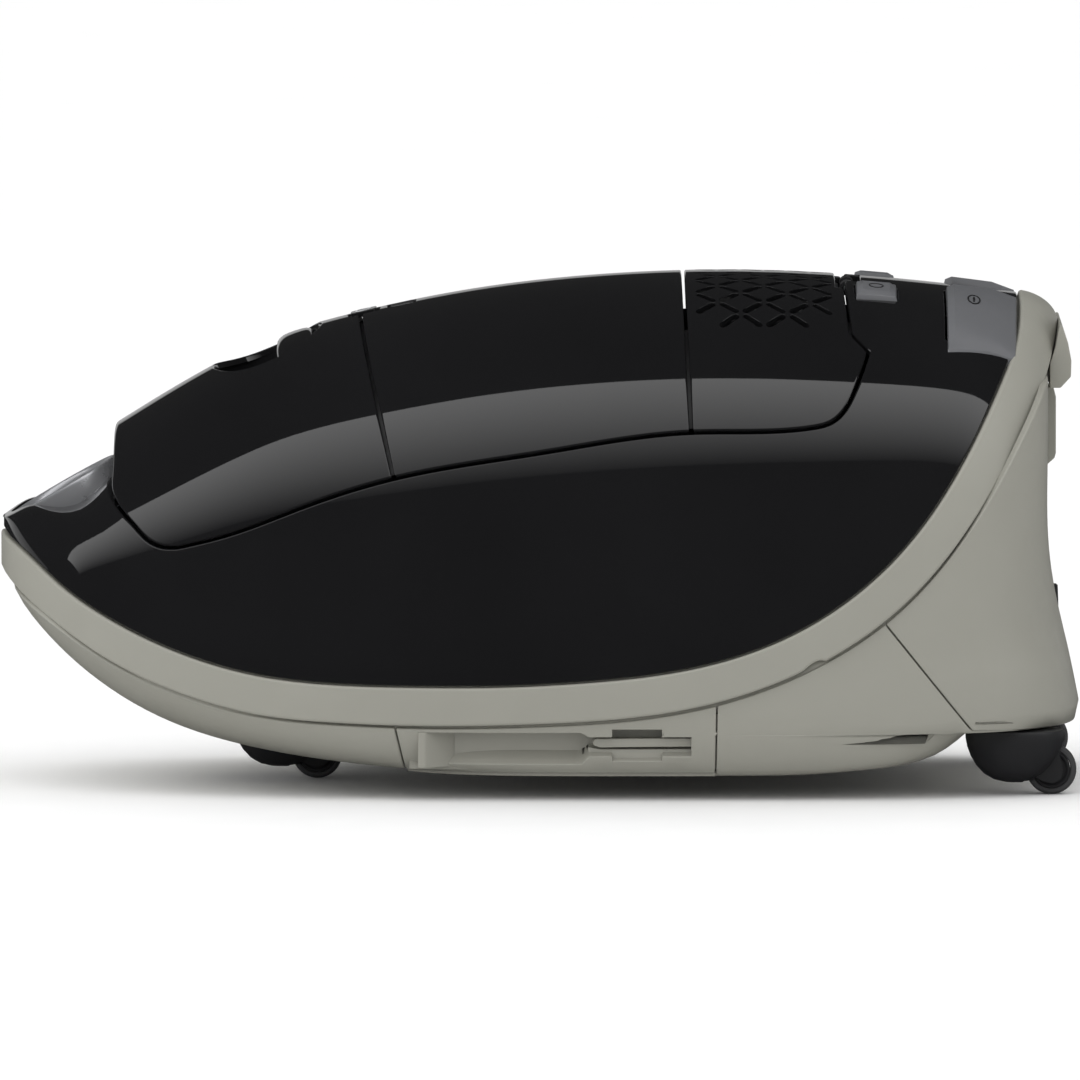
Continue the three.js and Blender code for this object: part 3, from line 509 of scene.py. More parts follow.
def rim_frames(loop, deck):
    """Per loop point: place, normal, outward direction, and whether it carries a rim."""
    point, normal = lifted(loop, deck)
    n = len(loop)
    mirror = [on_mirror(loop[i], loop[(i + 1) % n]) for i in range(n)]
    following = np.roll(point, -1, axis=0) - point
    out_after = np.cross(following, normal)
    out_before = np.cross(np.roll(following, 1, axis=0), normal)
    out_after /= np.linalg.norm(out_after, axis=1, keepdims=True) + 1e-12
    out_before /= np.linalg.norm(out_before, axis=1, keepdims=True) + 1e-12
    outward = np.zeros_like(point)
    for i in range(n):
        before, after = mirror[i - 1], mirror[i]
        if before and after:
            continue
        if before or after:
            way = (out_after if before else out_before)[i].copy()
            way[1] = 0
            outward[i] = way / np.linalg.norm(way)
        else:
            total = out_before[i] + out_after[i]
            spread = max(0.35, 1 + float(np.dot(out_before[i], out_after[i])))
            outward[i] = total / spread
    return point, normal, outward, mirror


def shrunk(loop, distance, deck=False):
    """The loop moved inward by a true distance on the surface; points in the middle plane stay in it."""
    point, normal, outward, mirror = rim_frames(loop, deck)
    distance = np.broadcast_to(distance, len(loop))
    step = 0.02
    across = [
        (lifted(loop + np.array(d) * step, deck)[0] - lifted(loop - np.array(d) * step, deck)[0]) / (
            2 * step
        )
        for d in ((1, 0), (0, 1))
    ]
    moved = loop.copy()
    for i in range(len(loop)):
        if not outward[i].any():
            continue
        frame_2d = np.stack([across[0][i], across[1][i]], -1)
        shift = np.linalg.lstsq(frame_2d, -outward[i] * distance[i], rcond=None)[0]
        if mirror[i - 1] or mirror[i]:
            pinned_v = loop[i, 1] > V_TOP - 1e-3
            size = np.linalg.norm(frame_2d[:, 0 if pinned_v else 1])
            way = -float(np.dot(outward[i], frame_2d[:, 0 if pinned_v else 1])) / size**2 * distance[i]
            shift = np.array([way, 0]) if pinned_v else np.array([0, way])
        moved[i] += shift
    return moved


def rounded(loop, radius, sharp=0.5):
    """The loop with its sharp corners turned into arcs."""
    result = []
    n = len(loop)
    for i in range(n):
        a, p, b = loop[i - 1], loop[i], loop[(i + 1) % n]
        if on_mirror(a, p) or on_mirror(p, b):
            result.append(p)
            continue
        u, v = a - p, b - p
        lu, lv = np.linalg.norm(u), np.linalg.norm(v)
        turn = math.pi - math.acos(max(-1, min(1, float(np.dot(u, v)) / (lu * lv))))
        if turn < sharp:
            result.append(p)
            continue
        reach = min(radius * math.tan(turn / 2), 0.45 * lu, 0.45 * lv)
        start, end = p + u / lu * reach, p + v / lv * reach
        for t in np.linspace(0, 1, 5):
            result.append((1 - t) ** 2 * start + 2 * t * (1 - t) * p + t**2 * end)
    return np.array(result)


def filled(loops, spacing):
    """Triangles that fill the first loop, less the others, with points spread evenly inside."""
    outer = loops[0]
    low, high = outer.min(0), outer.max(0)
    rows = []
    for k, v in enumerate(np.arange(low[1] + spacing / 2, high[1], spacing * 0.87)):
        shift = spacing / 2 if k % 2 else 0
        u = np.arange(low[0] + shift, high[0], spacing)
        rows.append(np.stack([u, np.full(len(u), v)], -1))
    grid = np.vstack(rows) if rows else np.zeros((0, 2))
    keep = inside(grid, outer)
    for hole in loops[1:]:
        keep &= ~inside(grid, hole)
    grid = grid[keep]
    border = np.vstack(loops)
    if len(grid):
        near = np.array([np.min(np.sum((border - g) ** 2, axis=1)) for g in grid])
        grid = grid[near > (0.55 * spacing) ** 2]
    points = np.vstack([border, grid])
    edges, start = [], 0
    for loop in loops:
        n = len(loop)
        edges += [(start + i, start + (i + 1) % n) for i in range(n)]
        start += n
    result = delaunay_2d_cdt([Vector(p) for p in points], edges, [], 0, 1e-6)
    verts, faces, origin = result[0], result[2], result[3]
    index = [o[0] for o in origin]
    flat_points = np.array([[v.x, v.y] for v in verts])
    faces = np.array([f for f in faces if len(f) == 3])
    middle = flat_points[faces].mean(1)
    keep = inside(middle, outer)
    for hole in loops[1:]:
        keep &= ~inside(middle, hole)
    triangles = []
    for f in faces[keep]:
        a, b, c = (index[k] for k in f)
        pa, pb, pc = points[a], points[b], points[c]
        turn = (pb[0] - pa[0]) * (pc[1] - pa[1]) - (pb[1] - pa[1]) * (pc[0] - pa[0])
        if abs(turn) > 1e-9:
            triangles.append((a, b, c) if turn > 0 else (a, c, b))
    return points, triangles


def panel(
    name, loops, inset=COVER_INSET, depth=3.0, radius=0.9, deck=False, spacing=6.0, flange=0.0, lift=0.0,
    gap=SEAM / 2, corner=1.5, holes=None
):
    """A moulded cover laid on the shell. Its loops are seam lines: one round it, and one round each hole.

    Its edges roll over by the radius, then drop by the depth. It is closed beneath and mirrored.
    """
    shaped, edges = [], []
    for k, loop in enumerate(loops):
        if (signed_area(loop) > 0) == (k > 0):
            loop = loop[::-1]
        own_gap, own_radius, own_depth = holes if k and holes else (gap, radius, depth)
        r = own_radius(loop) if callable(own_radius) else own_radius
        shaped.append(
            rounded(shrunk(loop, own_gap + r, deck), corner if not (k and holes) else min(corner, 0.4))
        )
        edges.append((own_radius, own_depth))
    points, triangles = filled(shaped, spacing)
    place, normal = lifted(points, deck)
    place = place - normal * (inset - lift)
    under = (3.0 if callable(depth) else depth) + (1.0 if flange else 0.0)
    count = len(points)
    all_points = [place, place - normal * under]
    all_normals = [normal, -normal]
    faces = [tuple(t) for t in triangles] + [(count + a, count + c, count + b) for a, b, c in triangles]
    total, start = 2 * count, 0
    for loop, (own_radius, own_depth) in zip(shaped, edges):
        n = len(loop)
        _, _, outward, mirror = rim_frames(loop, deck)
        p, nrm = place[start : start + n], normal[start : start + n]
        r = own_radius(loop)[:, None] if callable(own_radius) else np.full((n, 1), own_radius)
        drop = own_depth(loop)[:, None] if callable(own_depth) else np.full((n, 1), own_depth)
        unit = outward / (np.linalg.norm(outward, axis=1, keepdims=True) + 1e-12)
        rings, ring_normals = [], []
        for a in np.linspace(0, math.pi / 2, 6)[1:]:
            rings.append(p + outward * r * math.sin(a) - nrm * r * (1 - math.cos(a)))
            ring_normals.append(nrm * math.cos(a) + unit * math.sin(a))
        rings.append(p + outward * r - nrm * drop)
        ring_normals.append(unit)
        if flange:
            rings += [
                p + outward * r - nrm * drop, p + outward * (r + flange) - nrm * drop,
                p + outward * (r + flange) - nrm * (drop + 1)
            ]
            ring_normals += [nrm, nrm, -nrm]
        ids = [np.arange(start, start + n)]
        for ring, ring_normal in zip(rings, ring_normals):
            all_points.append(ring)
            all_normals.append(ring_normal + 1e-9)
            ids.append(np.arange(total, total + n))
            total += n
        ids.append(np.arange(count + start, count + start + n))
        for near, far in zip(ids, ids[1:]):
            for i in range(n):
                if not mirror[i]:
                    j = (i + 1) % n
                    faces.append((near[j], near[i], far[i], far[j]))
        start += n
    points3 = np.vstack(all_points)
    normals3 = np.vstack(all_normals)
    return mirrored_mesh(name, points3, normals3, faces)


def mirrored_mesh(name, points, normals, faces, tolerance=0.02):
    """The near half and its mirror image, welded where they meet."""
    middle = np.abs(points[:, 1]) < tolerance
    points[middle, 1] = 0
    used = sorted({i for f in faces for i in f})
    remap = -np.ones(len(points), int)
    remap[used] = np.arange(len(used))
    points, normals, middle = points[used], normals[used], middle[used]
    faces = [tuple(int(remap[i]) for i in f) for f in faces]
    far = np.where(middle, np.arange(len(points)), 0)
    others = np.nonzero(~middle)[0]
    far[others] = len(points) + np.arange(len(others))
    flip = np.array([1, -1, 1])
    everything = np.vstack([points, points[others] * flip])
    facing = np.vstack([normals, normals[others] * flip])
    mirrored = [tuple(int(far[i]) for i in reversed(f)) for f in faces]
    return mesh_object(name, everything, faces + mirrored, facing)


# ---------------------------------------------------------------- materials


def node_tree(name):
    material = bpy.data.materials.new(name)
    material.use_nodes = True
    tree = material.node_tree
    return material, tree, tree.nodes["Principled BSDF"]


def noise(tree, scale, detail=3.0, roughness=0.55, coordinates="Object"):
    place = tree.nodes.new("ShaderNodeTexCoord")
    texture = tree.nodes.new("ShaderNodeTexNoise")
    texture.inputs["Scale"].default_value = scale
    texture.inputs["Detail"].default_value = detail
    texture.inputs["Roughness"].default_value = roughness
    tree.links.new(place.outputs[coordinates], texture.inputs["Vector"])
    return texture.outputs["Fac"]


def ramp(tree, source, low, high, start=0.3, end=0.7):
    node = tree.nodes.new("ShaderNodeMapRange")
    node.inputs["From Min"].default_value = start
    node.inputs["From Max"].default_value = end
    node.inputs["To Min"].default_value = low
    node.inputs["To Max"].default_value = high
    tree.links.new(source, node.inputs["Value"])
    return node.outputs["Result"]


def tinted(tree, source, dark, light):
    mix = tree.nodes.new("ShaderNodeMix")
    mix.data_type = "RGBA"
    mix.inputs["A"].default_value = (*dark, 1)
    mix.inputs["B"].default_value = (*light, 1)
    tree.links.new(ramp(tree, source, 0, 1), mix.inputs["Factor"])
    return mix.outputs["Result"]


def bumped(tree, shader, heights):
    """Stacks bump maps: (texture, distance in metres, strength) each."""
    last = None
    for source, distance, strength in heights:
        bump = tree.nodes.new("ShaderNodeBump")
        bump.inputs["Distance"].default_value = distance
        bump.inputs["Strength"].default_value = strength
        tree.links.new(source, bump.inputs["Height"])
        if last is not None:
            tree.links.new(last, bump.inputs["Normal"])
        last = bump.outputs["Normal"]
    tree.links.new(last, shader.inputs["Normal"])


def plastic(
    name, color, roughness, grain=0.00004, spread=0.05, specular=0.5, metallic=0.0, coat=0.0,
    grain_scale=1800.0
):
    """Moulded plastic: faint cloudy colour, uneven sheen, and a fine moulded grain."""
    material, tree, shader = node_tree(name)
    cloud = noise(tree, 14.0, 4.0)
    dark = [c * (1 - spread) for c in color]
    light = [min(1, c * (1 + spread)) for c in color]
    tree.links.new(tinted(tree, cloud, dark, light), shader.inputs["Base Color"])
    wear = noise(tree, 60.0, 5.0)
    tree.links.new(ramp(tree, wear, roughness * 0.85, min(1, roughness * 1.18)), shader.inputs["Roughness"])
    shader.inputs["Specular IOR Level"].default_value = specular
    shader.inputs["Metallic"].default_value = metallic
    shader.inputs["Coat Weight"].default_value = coat
    shader.inputs["Coat Roughness"].default_value = 0.06
    bumped(
        tree, shader,
        [(noise(tree, grain_scale, 2.0), grain, 0.5), (noise(tree, 90.0, 3.0), grain * 2, 0.15)]
    )
    return material


def piano_black(name, color=(0.0075, 0.0075, 0.008)):
    """High-gloss black: nearly flat, with faint moulding waviness, fine scratches and handling haze."""
    material, tree, shader = node_tree(name)
    cloud = noise(tree, 9.0, 3.0)
    tree.links.new(tinted(tree, cloud, color, [c * 1.25 for c in color]), shader.inputs["Base Color"])
    haze = noise(tree, 26.0, 6.0, 0.6)
    tree.links.new(ramp(tree, haze, 0.022, 0.04, 0.35, 0.75), shader.inputs["Roughness"])
    shader.inputs["IOR"].default_value = 1.5
    bumped(
        tree, shader, [(noise(tree, 35.0, 2.0), 0.00002, 0.25), (noise(tree, 2600.0, 2.0), 0.000004, 0.12)],
    )
    return material


def fleece(name, color, weave=1400.0, depth=0.00025):
    material, tree, shader = node_tree(name)
    fibres = noise(tree, weave, 6.0, 0.7)
    tree.links.new(tinted(tree, fibres, [c * 0.8 for c in color], color), shader.inputs["Base Color"])
    shader.inputs["Roughness"].default_value = 0.95
    shader.inputs["Sheen Weight"].default_value = 0.35
    bumped(tree, shader, [(fibres, depth, 0.7), (noise(tree, 160.0, 4.0), depth * 2, 0.4)])
    return material


def brushed(name, color, roughness=0.32):
    material, tree, shader = node_tree(name)
    place = tree.nodes.new("ShaderNodeTexCoord")
    stretch = tree.nodes.new("ShaderNodeMapping")
    stretch.inputs["Scale"].default_value = (40, 2600, 2600)
    lines = tree.nodes.new("ShaderNodeTexNoise")
    lines.inputs["Scale"].default_value = 1.0
    tree.links.new(place.outputs["Object"], stretch.inputs["Vector"])
    tree.links.new(stretch.outputs["Vector"], lines.inputs["Vector"])
    tree.links.new(
        tinted(tree, lines.outputs["Fac"], [c * 0.82 for c in color], color), shader.inputs["Base Color"]
    )
    tree.links.new(
        ramp(tree, lines.outputs["Fac"], roughness * 0.7, roughness * 1.3), shader.inputs["Roughness"],
    )
    shader.inputs["Metallic"].default_value = 1.0
    bumped(tree, shader, [(lines.outputs["Fac"], 0.00002, 0.5)])
    return material


def linear(*rgb):
    """8-bit display values as scene-linear ones."""
    return [(v / 255 / 12.92) if v <= 10 else ((v / 255 + 0.055) / 1.055) ** 2.4 for v in rgb]


FINISH = {
    "stone": plastic("stone_plastic", linear(150, 149, 140), 0.42, spread=0.025, specular=0.45),
    "panel": plastic("panel_plastic", linear(134, 132, 127), 0.48, spread=0.03, specular=0.4),
    "gloss": piano_black("piano_black"),
    "black": plastic("black_plastic", linear(38, 38, 40), 0.42, spread=0.12),
    "grey": plastic("grey_plastic", linear(100, 101, 104), 0.34, spread=0.03, specular=0.55),
    "silver": plastic(
        "silver_paint", linear(176, 177, 180), 0.28, grain=0.00002, spread=0.03, metallic=0.65,
    ),
    "inner": plastic("inner_plastic", linear(92, 94, 98), 0.5, spread=0.06),
    "rubber": plastic(
        "soft_rubber", linear(34, 34, 35), 0.75, grain=0.00008, spread=0.15, specular=0.3, grain_scale=900.0,
    ),
    "tyre": plastic(
        "tyre_rubber", linear(62, 62, 63), 0.7, grain=0.00008, spread=0.1, specular=0.3, grain_scale=900.0,
    ),
    "bag": fleece("bag_fleece", linear(224, 218, 202)),
    "filter": fleece("filter_fleece", linear(232, 232, 228), 900.0, 0.0004),
    "steel": brushed("ground_steel", linear(205, 207, 210)),
    "copper": brushed("enamelled_copper", linear(196, 118, 72), 0.38),
    "board": plastic("circuit_board", linear(34, 92, 58), 0.38, spread=0.18, specular=0.5),
    "lens": plastic("tinted_lens", linear(22, 24, 27), 0.08, grain=0.000004, spread=0.05, coat=1.0),
}
INK = plastic("printed_mark", linear(20, 20, 21), 0.5, spread=0.1)
INK_LIGHT = plastic("printed_mark_light", linear(205, 206, 208), 0.5, spread=0.03)

SLOT_OF = {row["node"]: row["material_slot"] for row in frame["record"]["subparts"]}


def dressed(obj, finish, body, *replaced, slot=None):
    """Gives a piece its finish and body, and hides the CAD nodes it stands for. The slot argument is not used.
    """
    obj.data.materials.clear()
    obj.data.materials.append(FINISH[finish] if isinstance(finish, str) else finish)
    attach(obj, body)
    if replaced:
        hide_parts(*replaced)
    return obj


# ---------------------------------------------------------------- gloss covers and the band


def plan_rectangle(x0, x1, y0, y1, radius, step=2.0):
    """A rounded rectangle in plan, [x, |y|]."""
    points = []
    for cx, cy, turn in (
        (x1 - radius, y1 - radius, 0), (x0 + radius, y1 - radius, 1), (x0 + radius, y0 + radius, 2),
        (x1 - radius, y0 + radius, 3)
    ):
        for a in np.linspace(0, math.pi / 2, 7) + turn * math.pi / 2:
            points.append((cx + radius * math.cos(a), cy + radius * math.sin(a)))
    points.append(points[0])
    return np.vstack(
        [straight(a, b, step)[:-1] for a, b in zip(points, points[1:]) if math.dist(a, b) > 1e-6]
    )


def top_run(x0, x1):
    """Along the ridge between two stations."""
    return straight(flat(x0, math.pi / 2), flat(x1, math.pi / 2), 4.0)


def notch(x0, x1, half, radius):
    """Half of a plan opening that straddles the ridge, from its rear end on the ridge to its front end."""
    full = plan_rectangle(x0, x1, -half, half, radius)
    near = full[full[:, 1] > 0]
    near = near[np.argsort(np.arctan2(near[:, 1] * (x1 - x0) / (2 * half), near[:, 0] - (x0 + x1) / 2))]
    ends = np.array([[x1, 0.0]]), np.array([[x0, 0.0]])
    return from_plan(np.vstack([ends[0], near, ends[1]]))


BUTTON_FRONT, BUTTON_REAR, BUTTON_HALF = -88.5, -75.5, 9.5
BUTTON_MIDDLE = (BUTTON_FRONT + BUTTON_REAR) / 2
RECESS = (-151.5, -102.5, 52.0, 14.0)

seam_front, seam_rest = cut_at(LID_SEAM, FRONT_CROSS)
seam_middle, seam_rear = cut_at(seam_rest, REAR_CROSS)
front_corner = seam_front[-1]
rear_corner = seam_middle[-1]
lip = climbing(LID_FRONT, float(angle_at(-200.2, 150.0)))[::-1]
front_cross = climbing(FRONT_CROSS, float(angle_at(*front_corner)))
rear_cross = climbing(REAR_CROSS, float(angle_at(*rear_corner)))
lid_rear = climbing(LID_REAR, float(angle_at(LID_SEAM[-1, 0] - 4, 213.0)), count=14)
LID_POCKET = (137.4, 42.0)  # where the lid stops short over its hinge, and to what half width
HOUSING_POCKET = (147.6, 25.0)
rear_points = lifted(lid_rear, False)[0]


def hinge_opening(x, half):
    """The lid's rear seam with an opening over the hinge: to a half width, then to a station at the ridge."""
    kept = lid_rear[np.abs(rear_points[:, 1]) > half + 3]
    corner = float(np.interp(half, -rear_points[::-1, 1], rear_points[::-1, 0]))
    side_run = straight((corner, half), (x, half), 6.5)[:-1]
    return np.vstack([kept, from_plan(np.vstack([side_run, straight((x, half), (x, 0.0), 3.0)]))])


def lip_radius(loop):
    """The lid's foremost edge is a thick roll; the rest is a tight mould radius."""
    x = x_of(loop[:, 0])
    return 0.9 + 3.3 * np.clip((-191 - x) / 6, 0, 1) * np.clip((loop[:, 1] / V_SCALE - 0.55) / 0.3, 0, 1)


def lip_depth(loop):
    x = x_of(loop[:, 0])
    return 3.0 + 6.0 * np.clip((-191 - x) / 6, 0, 1) * np.clip((loop[:, 1] / V_SCALE - 0.55) / 0.3, 0, 1)


def lens_notch(x0, x1, half, power=2.3, count=48):
    """Half of an oval plan opening, from its rear end on the ridge to its front end."""
    a = np.linspace(0, math.pi, count)
    c, s = np.cos(a), np.sin(a)
    middle, reach = (x0 + x1) / 2, (x1 - x0) / 2
    x = middle + reach * np.sign(c) * np.abs(c) ** (2 / power)
    y = half * np.abs(s) ** (2 / power)
    y[[0, -1]] = 0
    return np.stack([x, y], -1)


button_outline = plan_rectangle(BUTTON_FRONT, BUTTON_REAR, -BUTTON_HALF, BUTTON_HALF, 3.0, 1.5)
button_outline = button_outline[button_outline[:, 1] > 0.01]
button_turn = np.arctan2(button_outline[:, 1], button_outline[:, 0] - (BUTTON_FRONT + BUTTON_REAR) / 2)
button_outline = button_outline[np.argsort(button_turn)]
cross_points, _ = lifted(front_cross, False)
cross_kept = front_cross[np.abs(cross_points[:, 1]) > BUTTON_HALF + 3]
cross_x = float(np.interp(BUTTON_HALF, -cross_points[::-1, 1], cross_points[::-1, 0]))
ahead_of_button = button_outline[button_outline[:, 0] < cross_x - 1.6]
behind_button = button_outline[button_outline[:, 0] > cross_x + 1.6]


def front_cover_loop():
    """The seam line round the lid's front cover."""
    return joined(
        lip,
        traced(seam_front)[1:],
        cross_kept[1:],
        from_plan(np.array([[cross_x, BUTTON_HALF]])),
        from_plan(np.vstack([ahead_of_button, [[BUTTON_FRONT, 0.0]]])),
        top_run(BUTTON_FRONT, RECESS[1])[1:],
        from_plan(lens_notch(*RECESS[:3]))[1:],
        top_run(RECESS[0], -200.2)[1:-1],
    )


lid_front_cover = panel("lid_front_shell", [front_cover_loop()], radius=lip_radius, depth=lip_depth)
dressed(lid_front_cover, "gloss", "lid", "lid_front_cover")

LENS = (-70.2, -58.8, 9.2)
flap_loop = joined(
    cross_kept[::-1],
    traced(seam_middle)[1:],
    rear_cross[1:],
    top_run(x_of(rear_cross[-1, 0]), LENS[1])[1:],
    notch(*LENS, 2.5)[1:],
    top_run(LENS[0], BUTTON_REAR)[1:],
    from_plan(np.vstack([[[BUTTON_REAR, 0.0]], behind_button]))[1:],
    from_plan(np.array([[cross_x, BUTTON_HALF]])),
)
accessory_flap = panel("accessory_flap_shell", [flap_loop])
dressed(accessory_flap, "gloss", "flap", "accessory_flap")

grille_loop = joined(
    rear_cross[::-1],
    traced(seam_rear[seam_rear[:, 1] < 207])[1:],
    hinge_opening(*LID_POCKET),
    top_run(LID_POCKET[0], x_of(rear_cross[-1, 0]))[1:-1],
)

SLOT_PITCH_X, SLOT_PITCH_Y = 10.77, 10.4
SLOT_FIRST_X = 76.5


def slot_loop(x, y, length, width, lean):
    """A round-ended slot in plan, turned 45 degrees one way or the other."""
    r = width / 2
    ends = []
    for sign in (1, -1):
        for a in np.linspace(-math.pi / 2, math.pi / 2, 5):
            ends.append((sign * (length / 2 - r + r * math.cos(a)), sign * r * math.sin(a)))
    ends = np.array(ends)
    body = np.vstack([straight(a, b, 2.5)[:-1] for a, b in zip(ends, np.roll(ends, -1, axis=0))])
    c = math.sqrt(0.5)
    turned = np.stack([c * (body[:, 0] - lean * body[:, 1]), c * (lean * body[:, 0] + body[:, 1])], -1)
    return from_plan(turned + (x, y))


slots = []
for j in range(1, 9):
    for i in range(6):
        if j == 8 and i in (0, 5):
            continue
        # on the near side a slot that climbs to the rear runs toward the ridge
        climbs = (i + j) % 2 == 1
        slots.append(
            slot_loop(
                SLOT_FIRST_X + SLOT_PITCH_X * i, SLOT_PITCH_Y * j, 11.8, 3.8 if climbs else 2.9,
                -1 if climbs else 1
            )
        )

exhaust_grille = panel(
    "exhaust_grille_shell", [grille_loop] + slots, radius=0.9, holes=(0.0, 0.3, 3.0), spacing=5.0,
)
dressed(exhaust_grille, "gloss", "lid", "exhaust_grille")

band_loop = joined(
    traced(BUMPER_BOTTOM[BUMPER_BOTTOM[:, 0] > NOSE]),
    straight(flat(TAIL, angle_at(TAIL, 213.0)), flat(TAIL, math.pi / 2), 3.0),
    top_run(TAIL, 222.2)[1:],
    climbing(BAND_REAR, float(angle_at(222.2, 221.0)), count=20)[::-1][1:],
    traced(BUMPER_TOP[(BUMPER_TOP[:, 1] < 217) | (BUMPER_TOP[:, 0] < 0)])[::-1],
)
band_loop = band_loop[band_loop[:, 0] > 1e-3]
nose_low = flat(NOSE, angle_at(NOSE + 0.01, 100.2))
nose_high = flat(NOSE, angle_at(NOSE + 0.01, 116.0))
band_loop = joined(nose_low[None], band_loop, nose_high[None])
bumper_band = panel(
    "bumper_band_shell", [band_loop], inset=0.0, depth=4.2, radius=1.4, gap=0.15, spacing=5.0, flange=3.0,
)
dressed(bumper_band, "stone", "body", "bumper_band")

PORT_A = np.array([math.sqrt(0.75), 0, 0.5])  # across the port, in the middle plane
PORT_HOLE = 29.0
LIP_X = -200.2


def angle_for_y(x, y):
    """The section angle on the port deck where |y| is reached."""
    low, high = np.zeros(np.shape(x)), np.full(np.shape(x), math.pi / 2)
    for _ in range(40):
        phi = (low + high) / 2
        wide = np.abs(shell_point(x, phi, True)[0][..., 1]) > y
        low = np.where(wide, phi, low)
        high = np.where(wide, high, phi)
    return (low + high) / 2


port_start = math.acos((LIP_X - PORT_CENTRE[0]) / (PORT_HOLE * PORT_A[0]))
port_turn = np.linspace(port_start + 0.3, math.pi, 40)
port_x = PORT_CENTRE[0] + PORT_HOLE * PORT_A[0] * np.cos(port_turn)
port_rim = flat(port_x, angle_for_y(port_x, PORT_HOLE * np.sin(port_turn)))
port_rim[-1, 1] = V_TOP
lip_seam = climbing(
    LID_FRONT, float(angle_at(LIP_X, 142.0, True)), True, float(port_rim[0, 1] / V_SCALE) - 0.08,
)
lip_seam = np.vstack([lip_seam[:-5], lip_seam[-1:]])
port_rim = np.vstack([port_rim[:1], port_rim[5:]])
PEDAL = [(187.0, 27.5), (214.5, 27.5), (210.5, 76.0), (187.0, 86.0)]
KEY = [(145.4, 34.4), (165.6, 36.4), (165.6, 57.6), (145.4, 59.6)]


def plan_loop(corners, step=3.0):
    return from_plan(
        np.vstack([straight(a, b, step)[:-1] for a, b in zip(corners, corners[1:] + corners[:1])])
    )


housing_loop = joined(
    nose_high[None] + (0, 4),
    traced(BUMPER_TOP[(BUMPER_TOP[:, 0] > NOSE + 0.2) & (BUMPER_TOP[:, 1] < 217)] , True)[1:],
    climbing(BAND_REAR, float(angle_at(222.2, 221.0)), count=20),
    top_run(222.2, HOUSING_POCKET[0])[1:],
    hinge_opening(*HOUSING_POCKET)[::-1][1:],
    traced(LID_SEAM[(LID_SEAM[:, 1] < 207) & (LID_SEAM[:, 0] > -199.5)], True)[::-1],
    lip_seam,
    port_rim[1:],
    top_run(port_x[-1], NOSE)[1:],
)
upper_housing = panel(
    "upper_housing_shell", [housing_loop, plan_loop(PEDAL), plan_loop(KEY)], deck=True, gap=SEAM / 2,
    holes=(0.0, 0.6, 6.0),
)
dressed(upper_housing, "gloss", "body", "upper_housing")

# ---------------------------------------------------------------- base panels


def sloped(line, low, high, step=1.5):
    """Points of a leaning side-view line, [x, z], from one height to another."""
    z = np.linspace(low, high, max(2, math.ceil(abs(high - low) / step)) + 1)
    return np.stack([line(z), z], -1)


prow_seam = leaning([(PANEL_FRONT[0], 40), (PANEL_FRONT[1], 0)])
stern_seam = leaning([(PANEL_REAR[0], 60), (PANEL_REAR[1], 0)])
skirt_seam = leaning([(119.8, 130), (200, 30)])
GROOVE = 0.9  # shadow gap under the bumper
under_band = BUMPER_BOTTOM - (0, GROOVE)
band_prow, band_rest = cut_at(under_band, prow_seam)
band_side, band_rest = cut_at(band_rest, stern_seam)
band_stern, band_skirt = cut_at(band_rest, skirt_seam)
band_prow = band_prow[band_prow[:, 0] > -248.3]
band_skirt = band_skirt[band_skirt[:, 0] < 234.5]


def bottom_run(x, y_start, y_end, count=40):
    """Across the prow's underside at a station, from one |y| to another."""
    return under_prow(np.stack([np.full(count, float(x)), np.linspace(y_start, y_end, count)], -1))


seam_foot = float(prow_seam(14.0))
foot_y = float(abs(hull_place(*on_hull(np.array([[seam_foot, 14.0]]), "prow")[0], "prow")[1]))
well_turn = np.linspace(0, math.pi, 40)
well_rim = under_prow(np.stack([WELL_X + WELL_R * np.cos(well_turn), WELL_R * np.sin(well_turn)], -1))
well_rim[[0, -1], 0] = 0
prow_nose = np.array([0, at_height(band_prow[0, 1] + 0.6, "prow")])
prow_loop = joined(
    prow_nose[None],
    on_hull(band_prow, "prow"),
    on_hull(sloped(prow_seam, band_prow[-1, 1], 14.0), "prow")[1:],
    bottom_run(seam_foot, foot_y, 0.0)[1:-1],
    np.array([[0, bottom_run(seam_foot, 1.0, 0.0, 2)[-1, 1]]]),
    well_rim,
)
prow = panel(
    "base_prow", [prow_loop], inset=0.0, depth=3.4, radius=0.8, deck="prow", gap=0.35, spacing=7.0,
    flange=3.0
)
dressed(prow, "stone", "body", "base_pan")

TRAY_TOP, TRAY_LOW, SLOT_TOP, SLOT_LOW = 31.8, 17.0, 29.8, 20.8
RECESS_DEPTH = 13.5
recess_outline = [
    (-53.2, TRAY_TOP), (-49.9, TRAY_LOW), (18.8, TRAY_LOW), (22.5, SLOT_LOW), (33.2, SLOT_LOW), (
        33.2, 18.6,
    ),
    (55.9, 18.6), (55.9, SLOT_LOW), (69.4, SLOT_LOW), (69.4, SLOT_TOP), (55.9, SLOT_TOP), (55.9, 33.4),
    (33.2, 33.4), (33.2, SLOT_TOP), (22.5, SLOT_TOP), (18.8, TRAY_TOP),
]
recess_loop = np.vstack(
    [straight(a, b, 3.0)[:-1] for a, b in zip(recess_outline, recess_outline[1:] + recess_outline[:1])]
)
SIDE_FOOT = 12.4
side_foot_ends = (float(stern_seam(SIDE_FOOT)), SIDE_FOOT), (float(prow_seam(SIDE_FOOT)), SIDE_FOOT)
side_loop = joined(
    on_hull(band_side, "side"),
    on_hull(sloped(stern_seam, band_side[-1, 1], SIDE_FOOT), "side")[1:],
    on_hull(straight(*side_foot_ends, 4.0), "side")[1:],
    on_hull(sloped(prow_seam, SIDE_FOOT, band_side[0, 1]), "side")[1:-1],
)


